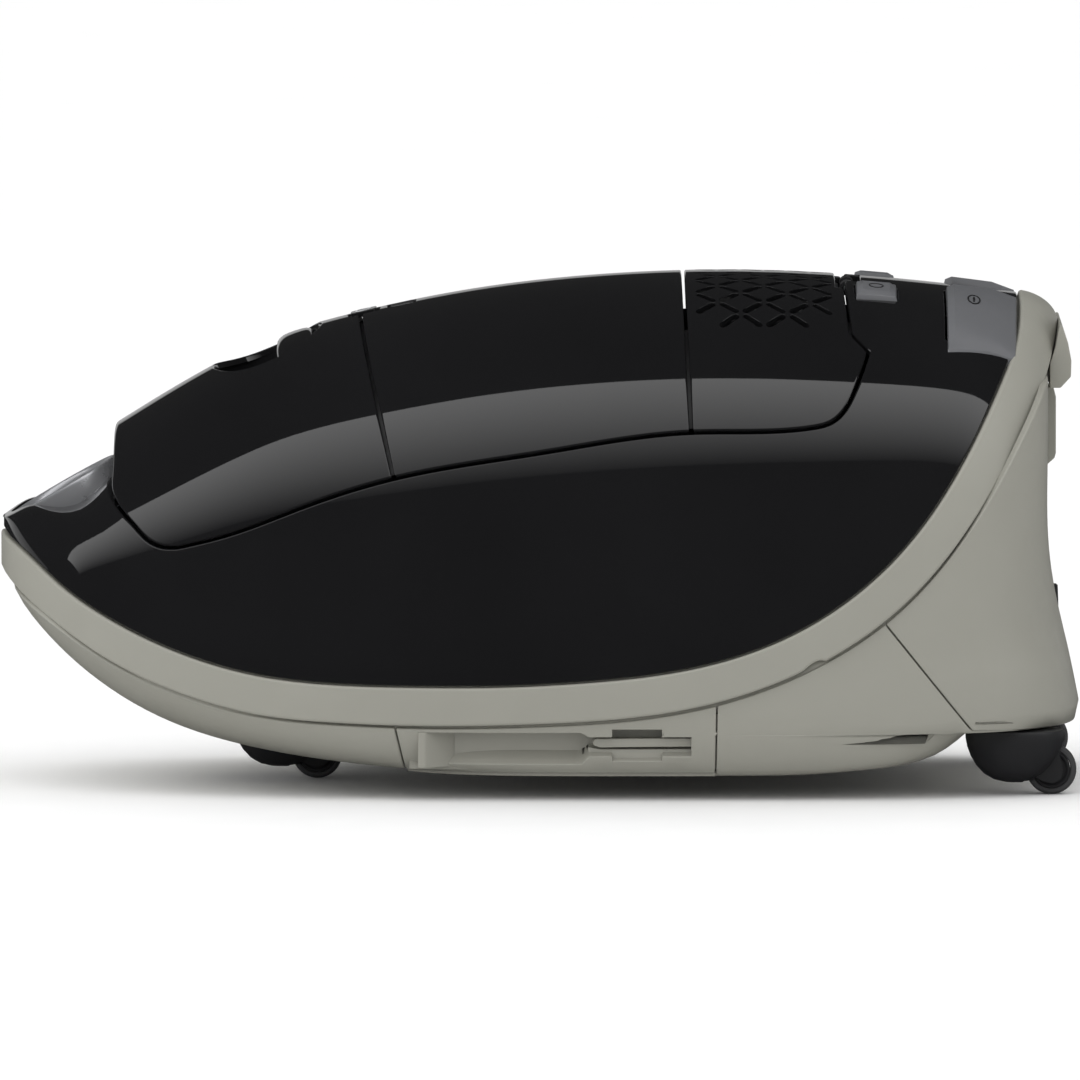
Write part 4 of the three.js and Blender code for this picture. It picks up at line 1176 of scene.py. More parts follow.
side_panels = panel(
    "parking_panel_shells", [side_loop, on_hull(recess_loop, "side")], inset=0.0, radius=0.7, depth=3.0,
    deck="side", gap=0.35, spacing=6.0, corner=0.8, holes=(0.0, 0.5, RECESS_DEPTH),
)
dressed(side_panels, "stone", "body", "parking_panel_left", "parking_panel_right")

stern_foot = np.array([stern_seam(11.0), 11.0])
stern_tail = np.array([U_END, at_height(LEDGE - 0.1, "stern") + 38.0])
SEAM_END = LEDGE + 0.4  # where the skirt's seam stops above the ledge
ledge_corner = on_hull(np.array([[float(skirt_seam(SEAM_END)), SEAM_END]]), "stern")[0]
stern_loop = joined(
    on_hull(band_stern, "stern"),
    on_hull(sloped(skirt_seam, band_stern[-1, 1], SEAM_END), "stern")[1:],
    straight(ledge_corner, stern_tail, 5.0)[1:],
    straight((U_END, stern_tail[1]), (U_END, HULL_V0), 5.0)[1:],
    straight((U_END, HULL_V0), on_hull(stern_foot[None], "stern")[0], 5.0)[1:],
    on_hull(sloped(stern_seam, 11.0, band_stern[0, 1]), "stern")[1:-1],
)
stern = panel(
    "base_stern", [stern_loop], inset=0.0, depth=3.4, radius=0.7, deck="stern", gap=0.3, spacing=7.0,
    flange=3.0
)
dressed(stern, "stone", "body")

skirt_foot = LEDGE + 0.5
tail_low = np.array([U_END, at_height(skirt_foot, "stern")])
tail_high = np.array([U_END, at_height(208.5, "stern")])
skirt_loop = joined(
    on_hull(band_skirt, "stern"),
    tail_high[None],
    straight(tail_high, tail_low, 4.0)[1:],
    straight(tail_low, on_hull(np.array([[float(skirt_seam(skirt_foot)), skirt_foot]]), "stern")[0], 4.0)[
        1:
    ],
    on_hull(sloped(skirt_seam, skirt_foot, band_skirt[0, 1]), "stern")[1:-1],
)
skirt = panel(
    "rear_skirt_shell", [skirt_loop], inset=0.0, depth=3.0, radius=0.8, deck="stern", gap=0.35, spacing=6.0,
)
dressed(skirt, "stone", "body", "rear_skirt")

# ---------------------------------------------------------------- solids for the smaller pieces


def turned_right(obj):
    """Makes every face look outward, with sharp edges where faces meet steeply."""
    work = bmesh.new()
    work.from_mesh(obj.data)
    bmesh.ops.recalc_face_normals(work, faces=work.faces)
    work.to_mesh(obj.data)
    work.free()
    obj.data.set_sharp_from_angle(angle=math.radians(32))
    return obj


def applied(obj):
    """Bakes an object's modifiers into its mesh."""
    bpy.context.view_layer.update()
    baked = bpy.data.meshes.new_from_object(obj.evaluated_get(bpy.context.evaluated_depsgraph_get()))
    obj.modifiers.clear()
    obj.data = baked
    return obj


def bevelled(obj, width, segments=3, angle=30.0):
    """Rounds an object's sharp edges."""
    edge = obj.modifiers.new("edge", "BEVEL")
    edge.width = width * MM
    edge.segments = segments
    edge.limit_method = "ANGLE"
    edge.angle_limit = math.radians(angle)
    edge.harden_normals = True
    applied(obj)
    obj.data.polygons.foreach_set("use_smooth", [True] * len(obj.data.polygons))
    return obj


def prism(name, outline, axis, low, high):
    """A closed outline swept along an axis. Outlines are [y, z] for x, [x, z] for y and [x, y] for z."""
    outline = np.array(outline, float)
    n = len(outline)
    order = {"x": (2, 0, 1), "y": (0, 2, 1), "z": (0, 1, 2)}[axis]
    points = []
    for level in (low, high):
        full = np.column_stack([outline, np.full(n, level)])
        points.append(full[:, order])
    faces = [tuple(range(n)), tuple(range(2 * n - 1, n - 1, -1))]
    faces += [(i, (i + 1) % n, n + (i + 1) % n, n + i) for i in range(n)]
    return turned_right(mesh_object(name, np.vstack(points), faces))


def lathed(name, profile, place, axis=(0, 0, 1), steps=64):
    """[radius, height] points turned about an axis; a profile that leaves the axis closes on itself."""
    profile = np.array(profile, float)
    axis = np.array(axis, float) / np.linalg.norm(axis)
    across = np.cross(axis, (0, 1, 0) if abs(axis[1]) < 0.9 else (1, 0, 0))
    across /= np.linalg.norm(across)
    third = np.cross(axis, across)
    solid = profile[0, 0] < 1e-6
    rings, points = [], []
    for r, h in profile:
        if r < 1e-6:
            rings.append([len(points)] * steps)
            points.append(np.array(place) + axis * h)
            continue
        rings.append(list(range(len(points), len(points) + steps)))
        for a in np.arange(steps) * 2 * math.pi / steps:
            points.append(np.array(place) + axis * h + r * (across * math.cos(a) + third * math.sin(a)))
    if not solid:
        rings.append(rings[0])
    faces = []
    for low, high in zip(rings, rings[1:]):
        for j in range(steps):
            k = (j + 1) % steps
            face = [low[j], low[k], high[k], high[j]]
            face = [v for i, v in enumerate(face) if v != face[i - 1]]
            if len(face) > 2:
                faces.append(tuple(face))
    return turned_right(mesh_object(name, points, faces))


def carved(obj, operation, *tools):
    """Joins or cuts an object with others, which are used up."""
    for tool in tools:
        step = obj.modifiers.new("step", "BOOLEAN")
        step.operation = operation
        step.solver = "MANIFOLD"
        step.object = tool
        applied(obj)
        bpy.data.objects.remove(tool)
    obj.data.set_sharp_from_angle(angle=math.radians(32))
    return obj


def egg_top(x, y, deck=False):
    """Height of the egg's upper surface above a plan point."""
    x, y = np.broadcast_arrays(np.asarray(x, float), np.abs(np.asarray(y, float)))
    xy = np.stack([x.ravel(), y.ravel()], -1)
    return lifted(from_plan(xy), deck)[0][:, 2].reshape(x.shape)


def grid_block(name, x, y, lift, thick, side):
    """A block whose top follows the egg with a lift at each grid point; side is -1 for the near side."""
    top = np.stack([x, side * y, egg_top(x, y) + lift], -1)
    low = np.stack([x, side * y, egg_top(x, y) - thick], -1)
    m, n = x.shape
    points = np.vstack([top.reshape(-1, 3), low.reshape(-1, 3)])
    faces = []
    for i in range(m - 1):
        for j in range(n - 1):
            a = i * n + j
            faces.append((a, a + 1, a + n + 1, a + n))
            b = a + m * n
            faces.append((b, b + n, b + n + 1, b + 1))
    rim = [(0, j) for j in range(n)] + [(i, n - 1) for i in range(1, m)]
    rim += [(m - 1, j) for j in range(n - 2, -1, -1)] + [(i, 0) for i in range(m - 2, 0, -1)]
    ids = [i * n + j for i, j in rim]
    for a, b in zip(ids, ids[1:] + ids[:1]):
        faces.append((a, b, b + m * n, a + m * n))
    return turned_right(mesh_object(name, points, faces))


def laid_ring(name, x, y, rx, ry, width, lift, body, finish, start=0.0, end=2 * math.pi):
    """A thin printed ring, or part of one, on top of a control."""
    whole = end - start > 6.28
    a = np.linspace(start, end, 37)[: -1 if whole else None]
    loops = []
    for shrink, up in ((0, lift), (width, lift), (width, lift - 0.4), (0, lift - 0.4)):
        px, py = x + (rx - shrink) * np.cos(a), y + (ry - shrink) * np.sin(a)
        loops.append(np.stack([px, py, egg_top(px, py) + up], -1))
    n = len(a)
    faces = []
    for i in range(n if whole else n - 1):
        j = (i + 1) % n
        for k in range(4):
            m = (k + 1) % 4
            faces.append((k * n + i, k * n + j, m * n + j, m * n + i))
    if not whole:
        faces += [(0, n, 2 * n, 3 * n), (n - 1, 4 * n - 1, 3 * n - 1, 2 * n - 1)]
    return dressed(turned_right(mesh_object(name, np.vstack(loops), faces)), finish, body, slot="black")


# ---------------------------------------------------------------- recesses in the side panels

RECESS_FLOOR = 133.0  # |y| of the recess floor


def near(side, a, b):
    """Two |y| values as a low and high y on one side."""
    return min(side * a, side * b), max(side * a, side * b)


for side, tag in ((-1, "left"), (1, "right")):
    back = prism(
        f"recess_back_{tag}", [(-60, 14.4), (74, 14.4), (74, 35.0), (60, 35.0), (30, 33.4), (-60, 33.0)],
        "y", *near(side, RECESS_FLOOR - 2.0, RECESS_FLOOR)
    )
    ramp_in = prism(
        f"recess_ramp_{tag}", [(-56, RECESS_FLOOR), (-56, 144.0), (-52.6, 144.0), (-39, RECESS_FLOOR)], "z",
        TRAY_LOW - 1.6, TRAY_TOP + 0.4
    )
    if side < 0:
        ramp_in.data.transform(Matrix.Diagonal((1, -1, 1, 1)))
        turned_right(ramp_in)
    tongue = prism(
        f"recess_tongue_{tag}",
        [(24.0, 27.4), (25.4, 29.0), (71, 29.2), (71, 25.3), (27.5, 24.9), (24.6, 25.9)],
        "y", *near(side, RECESS_FLOOR - 0.5, 141.5),
    )
    sill = prism(
        f"recess_sill_{tag}", [(22.0, 18.0), (71, 18.0), (71, 24.1), (27.5, 24.1), (22.0, 25.0)], "y",
        *near(side, RECESS_FLOOR - 0.5, 139.5)
    )
    for obj, width in ((back, 0.4), (ramp_in, 0.8), (tongue, 0.5), (sill, 0.5)):
        dressed(bevelled(obj, width), "stone", "body")

# ---------------------------------------------------------------- handle, button and window

cup_rim = lens_notch(RECESS[0] + 0.2, RECESS[1] - 0.2, RECESS[2] - 0.2)
cup_rim = np.vstack([cup_rim, (cup_rim * (1, -1))[::-1][1:-1]])
cup_middle = np.array([(RECESS[0] + RECESS[1]) / 2, 0.0])
CUP_FLOOR, CUP_FLOOR_RISE = 170.5, 0.22  # height of the floor at its front end, and its slope
CUP_TAPER, CUP_WALL = 0.16, 1.6
rows, wall_rows = [], 7
for outer in (0.0, CUP_WALL):
    layer = []
    for t in np.linspace(0, 1, wall_rows):
        shape = cup_middle + (cup_rim - cup_middle) * (1 - CUP_TAPER * t**2) * (1 + outer * 0.03)
        rim_z = egg_top(np.clip(cup_rim[:, 0], -199, 200), cup_rim[:, 1]) - COVER_INSET - 1.0
        floor_z = CUP_FLOOR + (cup_rim[:, 0] - RECESS[0]) * CUP_FLOOR_RISE - outer
        layer.append(np.column_stack([shape, rim_z * (1 - t) + floor_z * t]))
    rows.append(layer)
ring = len(cup_rim)
cup_points = np.vstack(rows[0] + rows[1] + [[[*cup_middle, 174.9]], [[*cup_middle, 173.2]]])
cup_faces = []
for layer in range(2):
    for i in range(wall_rows - 1):
        for j in range(ring):
            a, b = (layer * wall_rows + i) * ring + j, (layer * wall_rows + i) * ring + (j + 1) % ring
            cup_faces.append((a, b, b + ring, a + ring))
for j in range(ring):
    k = (j + 1) % ring
    cup_faces.append((j, k, wall_rows * ring + k, wall_rows * ring + j))
    last = (wall_rows - 1) * ring
    cup_faces.append((last + j, last + k, 2 * wall_rows * ring))
    last = (2 * wall_rows - 1) * ring
    cup_faces.append((last + j, last + k, 2 * wall_rows * ring + 1))
cup = turned_right(mesh_object("handle_cup_shell", cup_points, cup_faces))
dressed(cup, "gloss", "lid", "handle_cup", slot="black")

BAR_X, BAR_HALF, BAR_THICK = (-122.0, -105.5), 48.5, 4.2
BAR_SQUARE = 0.7  # below 1 the bar's section is squarer than an ellipse
bar_points, bar_steps, bar_rows = [], 24, 25
for y in np.linspace(-BAR_HALF, BAR_HALF, bar_rows):
    shrink = 1.0 - 0.25 * abs(y / BAR_HALF) ** 6
    middle_x = sum(BAR_X) / 2
    top = float(egg_top(middle_x, y)) - COVER_INSET - 0.6
    for a in np.arange(bar_steps) * 2 * math.pi / bar_steps:
        dx = (BAR_X[1] - BAR_X[0]) / 2 * math.copysign(abs(math.cos(a)) ** BAR_SQUARE, math.cos(a)) * shrink
        dz = BAR_THICK * math.copysign(abs(math.sin(a)) ** BAR_SQUARE, math.sin(a)) * shrink
        bar_points.append(
            (middle_x + dx, y, top - BAR_THICK + dz + float(slope(TOP_LINE, np.array(middle_x))) * dx)
        )
bar_faces = [
    (
        i * bar_steps + j, i * bar_steps + (j + 1) % bar_steps, (i + 1) * bar_steps + (j + 1) % bar_steps,
        (i + 1) * bar_steps + j
    )
    for i in range(bar_rows - 1) for j in range(bar_steps)
]
bar_faces += [tuple(range(bar_steps)), tuple((bar_rows - 1) * bar_steps + j for j in range(bar_steps))]
bar = turned_right(mesh_object("carry_handle_bar", bar_points, bar_faces))
dressed(bar, "gloss", "lid", "carry_handle")

BUTTON_PLAY = 0.5
cap_outline = (button_outline - (BUTTON_MIDDLE, 0)) * (0.93, 0.95) + (BUTTON_MIDDLE, 0)
cap_ends = [[BUTTON_REAR - BUTTON_PLAY, 0.0]], [[BUTTON_FRONT + BUTTON_PLAY, 0.0]]
button_loop = joined(
    from_plan(np.vstack([cap_ends[0], cap_outline, cap_ends[1]])),
    top_run(BUTTON_FRONT + BUTTON_PLAY, BUTTON_REAR - BUTTON_PLAY)[1:-1],
)
button = panel(
    "flap_button_cap", [button_loop], inset=0.2, depth=2.6, radius=0.5, gap=0.0, spacing=2.5, corner=0.3,
)
dressed(button, "gloss", "flap_button", "flap_button")
laid_ring("flap_button_mark", BUTTON_MIDDLE, 0.0, 3.6, 6.4, 0.55, 0.0, "flap_button", INK_LIGHT)
LENS_PLAY = 0.3
lens_ends = LENS[0] + LENS_PLAY, LENS[1] - LENS_PLAY
lens_loop = joined(notch(*lens_ends, LENS[2] - LENS_PLAY, 2.3), top_run(*lens_ends)[1:-1])
lens = panel("bag_window", [lens_loop], inset=1.9, depth=1.6, radius=0.3, gap=0.0, spacing=3.0, corner=0.3)
dressed(lens, "lens", "flap", "bag_indicator_lens")

# ---------------------------------------------------------------- pedals and keys

PEDAL_RISE, KEY_RISE, SKIRT = 2.4, 1.9, -1.6  # lift of the tops and of the lowest edges above the shell
PEDAL_ROWS = np.concatenate([[28.2], np.linspace(29.4, 80, 14), [86, 91.6, 92.3]])


def pedal_grid():
    """Stations, widths and lifts of a foot pedal: a flat top that falls to the rear and to its outer end."""
    x, y, lift = [], [], []
    for row in PEDAL_ROWS:
        low = row > 80.5
        t = np.clip((row - 29.4) / 50.6, 0, 1)
        ridge, rear = 210 - 3.5 * t, 220.8 - 1.2 * t
        xs = np.array([187.8, 188.3, 191.4, ridge, rear - 0.5, rear])
        lifts = np.array([SKIRT, 0.8, PEDAL_RISE, PEDAL_RISE, 0.2, SKIRT])
        ys = np.full(6, row)
        if low:
            share = (row - 80) / 12.3
            foot = 92.3 - (xs - 187.8) * 0.34
            ys = 80 + (foot - 80) * share
            lifts = lifts * (1 - share) + share * np.array([SKIRT, -0.6, -0.6, -0.6, -0.8, SKIRT])
        if row in (PEDAL_ROWS[0], PEDAL_ROWS[-1]):
            lifts = np.full(6, SKIRT)
        x.append(xs)
        y.append(ys)
        lift.append(lifts)
    return np.array(x), np.array(y), np.array(lift)


KEY_X = np.array([146.0, 146.5, 149.3, 161.6, 164.3, 165.0])
KEY_Y = np.array([35.6, 36.4, 39.5, 47, 54.6, 57.2, 58.0])
KEY_LIFT_X = np.array([SKIRT, 0.6, KEY_RISE, KEY_RISE, 0.6, SKIRT])
KEY_LIFT_Y = np.array([SKIRT, 0.6, KEY_RISE, KEY_RISE, KEY_RISE, 0.6, SKIRT])
for side, pedal, key in ((-1, "power_pedal", "key_minus"), (1, "rewind_pedal", "key_plus")):
    x, y, lift = pedal_grid()
    piece = grid_block(f"{pedal}_cap", x, y, lift, 7.0, side)
    dressed(bevelled(piece, 0.35, 2, 20), "grey", pedal, pedal)
    laid_ring(f"{pedal}_mark", 200.5, side * 52.0, 3.0, 5.6, 0.55, 2.55, pedal, INK)
    laid_ring(f"{pedal}_mark_bar", 200.5, side * 52.0, 0.45, 3.2, 0.4, 2.55, pedal, INK)
    x, y = np.meshgrid(KEY_X, KEY_Y)
    lift = np.minimum(KEY_LIFT_X[None, :], KEY_LIFT_Y[:, None])
    node = "power_key_minus" if side < 0 else "power_key_plus"
    piece = grid_block(f"{node}_cap", x, y, lift, 4.0, side)
    dressed(bevelled(piece, 0.3, 2, 20), "grey", key, node, slot="gloss")
    laid_ring(f"{node}_mark", 155.4, side * 47.0, 3.4, 3.4, 0.5, 2.05, key, INK)

# ---------------------------------------------------------------- hose port

collar = lathed(
    "hose_port_collar",
    [
        (24, -13.6), (28.5, -13.6), (28.5, 1.4), (27.9, 2.6), (26.8, 3.0), (25.4, 2.6), (24.4, 1.4),
        (24, -0.4)
    ],
    PORT_CENTRE, PORT_AXIS, 96,
)
dressed(collar, "silver", "body", "hose_port_ring")

# ---------------------------------------------------------------- castors

CASTOR_TRAIL, WHEEL_RADIUS = 16.6, 11.6
# half profiles from one face to the middle of the tread, [radius, distance from the middle plane]
WHEEL_HALF = [
    (0, 9.2), (1.8, 9.2), (1.95, 9.0), (1.95, 6.2), (3.4, 6.0),
    (3.8, 5.2), (6.6, 4.9), (7.6, 5.7), (8.4, 5.6), (8.6, 5.2),
]
TYRE_HALF = [(8.8, 5.0), (9.4, 5.4), (10.4, 5.2), (11.2, 4.4), (11.55, 3.2), (11.6, 1.4)]


def both_faces(half):
    """A whole lathe profile from its half."""
    return [(r, -h) for r, h in half] + [(r, h) for r, h in reversed(half)]


for tag, x, y in (("left", 219.0, -95.0), ("right", 219.0, 95.0), ("front", WELL_X, 0.0)):
    bowl = lathed(
        f"castor_bowl_{tag}",
        [
            (0, 5.4), (5, 5.6), (10, 6.8), (14.5, 9.4), (18, 13.2), (20.6, 17.6), (22.2, 22), (22.9, 25.6),
            (23, 28.6), (22.6, 29.6), (22, 29.9), (5, 29.9), (5, 38.2), (4.6, 38.5), (0, 38.5),
        ],
        (x, y, 0), steps=96,
    )
    mouth = prism(
        "mouth", [(x + 3.6, -5), (x + 40, -5), (x + 40, 24.4), (x + 8, 24.4), (x + 3.6, 20)], "y", y - 6.6,
        y + 6.6
    )
    carved(bowl, "DIFFERENCE", mouth)
    cheeks = [
        prism(
            "cheek",
            [
                (x + 8, 9.0), (x + 12.6, 6.4), (x + 17.5, 5.6), (x + 21, 7.6), (x + 22, 11.6), (x + 20, 20),
                (x + 14, 26), (x + 6, 26)
            ],
            "y", *ends,
        )
        for ends in ((y - 9.3, y - 6.5), (y + 6.5, y + 9.3))
    ]
    carved(bowl, "UNION", *cheeks)
    dressed(bowl, "black", f"castor_{tag}", f"castor_fork_{tag}")
    hub_place, turn = (x + CASTOR_TRAIL, y, WHEEL_RADIUS), (0, 1, 0)
    wheel = lathed(
        f"castor_disc_{tag}",
        both_faces(WHEEL_HALF),
        hub_place, turn,
    )
    dressed(wheel, "black", f"wheel_{tag}", f"castor_wheel_{tag}", slot="grey")
    tyre = lathed(
        f"castor_tread_{tag}",
        both_faces(TYRE_HALF),
        hub_place, turn, 72,
    )
    dressed(tyre, "tyre", f"wheel_{tag}", f"castor_tyre_{tag}")

# ---------------------------------------------------------------- rear cap, socket, castor well, floor plate

cap = prism(
    "rear_grip_cap_block",
    [
        (235.6, 184.4), (240.6, 184.4), (245.4, 189.6), (245.6, 197), (244.1, 205), (241.4, 213.4),
        (240.2, 213.6), (238.2, 203.4), (235.6, 196)
    ],
    "y", -49.6, 49.6,
)
dressed(bevelled(cap, 1.4, 4), "stone", "body", "rear_grip_cap")
socket = prism(
    "rear_parking_socket_block",
    [(235.0, 146.4), (238.6, 149.6), (239.2, 152), (239.2, 178), (238, 182.6), (235.0, 182.6)], "y", -13.7,
    13.7
)
carved(socket, "DIFFERENCE", prism("slot", [(230, 152), (245, 152), (245, 176), (230, 176)], "y", -6, 6))
dressed(bevelled(socket, 0.6, 3), "stone", "body", "rear_parking_socket")

well_points, well_steps = [], 72
for r, level in ((WELL_R, "low"), (WELL_R, "high"), (WELL_R + 1.8, "high"), (WELL_R + 1.8, "low")):
    a = np.arange(well_steps) * 2 * math.pi / well_steps
    px, py = WELL_X + r * np.cos(a), r * np.sin(a)
    z = under_height(px, py) + 1.2 if level == "low" else np.full(well_steps, 31.4 if r == WELL_R else 33.0)
    well_points.append(np.stack([px, py, z], -1))
well_points = np.vstack(well_points + [[[WELL_X, 0, 31.4]], [[WELL_X, 0, 33.0]]])
n = well_steps
well_faces = []
for j in range(n):
    k = (j + 1) % n
    well_faces += [
        (j, k, n + k, n + j), (2 * n + j, 2 * n + k, 3 * n + k, 3 * n + j), (3 * n + j, 3 * n + k, k, j),
    ]
    well_faces += [(n + j, n + k, 4 * n), (2 * n + j, 2 * n + k, 4 * n + 1)]
well = turned_right(mesh_object("castor_well_front", well_points, well_faces))
dressed(well, "stone", "body")

plate_line = on_hull(
    straight((seam_foot + 1, SIDE_FOOT), (float(stern_seam(SIDE_FOOT)), SIDE_FOOT), 6.0), "side",
)
plate_edge = lifted(plate_line, "side")[0]
tail_ring = lifted(straight(on_hull(stern_foot[None], "stern")[0], (U_END, HULL_V0), 8.0), "stern")[0]
plate_outline = np.vstack([plate_edge[:, :2] + (0, 1.6), tail_ring[:-1, :2] + (-0.6, 1.2)])
plate_outline = np.vstack([plate_outline, [[float(tail_ring[-1, 0]) - 1.2, 0]]])
plate_outline = np.vstack([plate_outline, (plate_outline[:-1] * (1, -1))[::-1]])
floor_plate = prism("base_floor_plate", plate_outline, "z", 11.0, 13.2)
dressed(bevelled(floor_plate, 0.5, 2), "stone", "body")

# ---------------------------------------------------------------- cord outlet and dust bag

OUTLET_PLACE = (0, 62.0, 72.0)
outlet = lathed(
    "cord_outlet_grommet",
    [
        (6, 228), (10, 228), (10, 238.4), (13.4, 238.6), (13.9, 239.4), (13.9, 240.8), (13.2, 241.6), (
            8.4, 241.8,
        ),
        (6.8, 241.2), (6, 240.0),
    ],
    OUTLET_PLACE, (1, 0, 0), 64,
)
dressed(outlet, "rubber", "body", "cord_outlet")

BAG_PLACE = np.array([-42.0, 0.0, 82.0])
BAG_REACH, BAG_HEIGHT = 77.0, 29.0
BAG_PUCKERS = 18
BAG_SWELL = 5.0  # the most that the cloth simulation may move a point; it moves them far less


def bag_height(r, turn):
    """Half thickness of the slack bag at a share of its reach: full in the middle, gathered at the seam."""
    gather = 1 + 0.10 * np.sin(BAG_PUCKERS * turn) * r**4
    return BAG_HEIGHT * (1 - r**2.2) ** 0.72 * gather


def dust_bag():
    """The slack bag as a closed lens. The cloth simulation hardly changes it."""
    rings, steps = 22, 96
    points, faces = [(0, 0, BAG_HEIGHT), (0, 0, -BAG_HEIGHT)], []
    for sign in (1, -1):
        for i in range(1, rings + 1):
            r = math.sin(i / rings * math.pi / 2)
            for j in range(steps):
                a = 2 * math.pi * j / steps
                z = max(float(bag_height(r, a)), 1.0)
                points.append((BAG_REACH * r * math.cos(a), BAG_REACH * r * math.sin(a), sign * z))
    for half in range(2):
        first = 2 + half * rings * steps
        for j in range(steps):
            k = (j + 1) % steps
            faces.append((half, first + j, first + k))
            for i in range(rings - 1):
                a = first + i * steps
                faces.append((a + j, a + steps + j, a + steps + k, a + k))
    last = 2 + (rings - 1) * steps
    for j in range(steps):
        k = (j + 1) % steps
        faces.append((last + j, last + k, last + rings * steps + k, last + rings * steps + j))
    bag = turned_right(mesh_object("dust_bag_fleece", np.array(points) + BAG_PLACE, faces))
    voxels = bag.modifiers.new("voxels", "REMESH")
    voxels.mode = "VOXEL"
    voxels.voxel_size = 4.5 * MM
    applied(bag)
    filled_out(bag)
    finer = bag.modifiers.new("finer", "SUBSURF")
    finer.levels = finer.render_levels = 1
    applied(bag)
    bag.data.polygons.foreach_set("use_smooth", [True] * len(bag.data.polygons))
    return bag


def filled_out(bag):
    """Cloth simulation: air pressure on the fleece, with its seam held. Points move by about 0.1 mm at most."""
    start = np.array([v.co for v in bag.data.vertices])
    seam = bag.vertex_groups.new(name="seam")
    seam.add(
        [int(i) for i in np.nonzero(np.abs(start[:, 2] - BAG_PLACE[2] * MM) < 2.6 * MM)[0]], 1.0, "REPLACE"
    )
    cloth = bag.modifiers.new("cloth", "CLOTH")
    cloth.settings.use_pressure = True
    cloth.settings.uniform_pressure_force = 4.0
    cloth.settings.vertex_group_mass = "seam"
    cloth.settings.effector_weights.gravity = 0.0
    cloth.point_cache.frame_start = 1
    cloth.point_cache.frame_end = 20
    for frame_number in range(1, 21):
        scene.frame_set(frame_number)
    shape = bag.evaluated_get(bpy.context.evaluated_depsgraph_get())
    end = np.array([v.co for v in shape.data.vertices])
    bag.modifiers.clear()
    bag.vertex_groups.clear()
    scene.frame_set(1)
    move = end - start
    length = np.linalg.norm(move, axis=1, keepdims=True) + 1e-12
    move *= np.minimum(1.0, BAG_SWELL * MM / length)
    bag.data.vertices.foreach_set("co", (start + move).ravel())
    bag.data.update()


bag = dust_bag()
dressed(bag, "bag", "body", "dust_bag")

turn = np.arange(180) * 2 * math.pi / 180
seam_wave = 0.5 * np.sin(BAG_PUCKERS * turn)
welt_loops = [
    np.stack([r * np.cos(turn), r * np.sin(turn), seam_wave + z], -1) + BAG_PLACE
    for r, z in ((75.0, 0.6), (80.6, 0.5), (81.2, 0.0), (80.6, -0.5), (75.0, -0.6))
]
welt_faces = [
    (k * 180 + i, k * 180 + (i + 1) % 180, (k + 1) % 5 * 180 + (i + 1) % 180, (k + 1) % 5 * 180 + i)
    for k in range(5) for i in range(180)
]
welt = turned_right(mesh_object("dust_bag_seam", np.vstack(welt_loops), welt_faces))
dressed(welt, "bag", "body")

# ---------------------------------------------------------------- carried-over CAD nodes

for name, obj in NODES.items():
    finish = SLOT_OF.get(name)
    if finish in FINISH:
        obj.data.materials.clear()
        obj.data.materials.append(FINISH[finish])
    if "custom_normal" in obj.data.attributes:
        obj.data.attributes.remove(obj.data.attributes["custom_normal"])
    obj.data.polygons.foreach_set("use_smooth", [True] * len(obj.data.polygons))
    weld = obj.modifiers.new("weld", "WELD")
    weld.merge_threshold = 0.02 * MM
    edge = obj.modifiers.new("edge", "BEVEL")
    edge.width = 0.5 * MM
    edge.segments = 2
    edge.limit_method = "ANGLE"
    edge.angle_limit = math.radians(33)
    edge.harden_normals = True

# ---------------------------------------------------------------- stage, light and camera


scene.view_settings.view_transform = "Standard"

FLOOR_HALF = 12.0
floor_mesh = bpy.data.meshes.new("floor")
corners = [
    (-FLOOR_HALF, -FLOOR_HALF, 0), (FLOOR_HALF, -FLOOR_HALF, 0), (FLOOR_HALF, FLOOR_HALF, 0),
    (-FLOOR_HALF, FLOOR_HALF, 0)
]
floor_mesh.from_pydata(corners, [], [(0, 1, 2, 3)])
floor = bpy.data.objects.new("floor", floor_mesh)
scene.collection.objects.link(floor)
floor_mesh.materials.append(
    plastic("floor_paper", (0.94, 0.94, 0.94), 0.9, grain=0.00001, spread=0.01, specular=0.1)
)
floor.visible_glossy = False

world = bpy.data.worlds.new("studio")
scene.world = world
world.use_nodes = True
tree = world.node_tree
background = tree.nodes["Background"]
background.inputs["Color"].default_value = (1, 1, 1, 1)
rays = tree.nodes.new("ShaderNodeLightPath")
direction = tree.nodes.new("ShaderNodeTexCoord")
sides = tree.nodes.new("ShaderNodeSeparateXYZ")
tree.links.new(direction.outputs["Generated"], sides.inputs["Vector"])
toward_rear = tree.nodes.new("ShaderNodeMapRange")
toward_rear.inputs["From Min"].default_value = -1.0
toward_rear.inputs["To Min"].default_value = 1.5
toward_rear.inputs["To Max"].default_value = 0.72
tree.links.new(sides.outputs["X"], toward_rear.inputs["Value"])
strength = tree.nodes.new("ShaderNodeMapRange")
strength.inputs["To Max"].default_value = 0.02
tree.links.new(toward_rear.outputs["Result"], strength.inputs["To Min"])
tree.links.new(rays.outputs["Is Glossy Ray"], strength.inputs["Value"])
camera_part = tree.nodes.new("ShaderNodeMath")
camera_part.operation = "MAXIMUM"
tree.links.new(strength.outputs["Result"], camera_part.inputs[0])
tree.links.new(rays.outputs["Is Camera Ray"], camera_part.inputs[1])
tree.links.new(camera_part.outputs["Value"], background.inputs["Strength"])


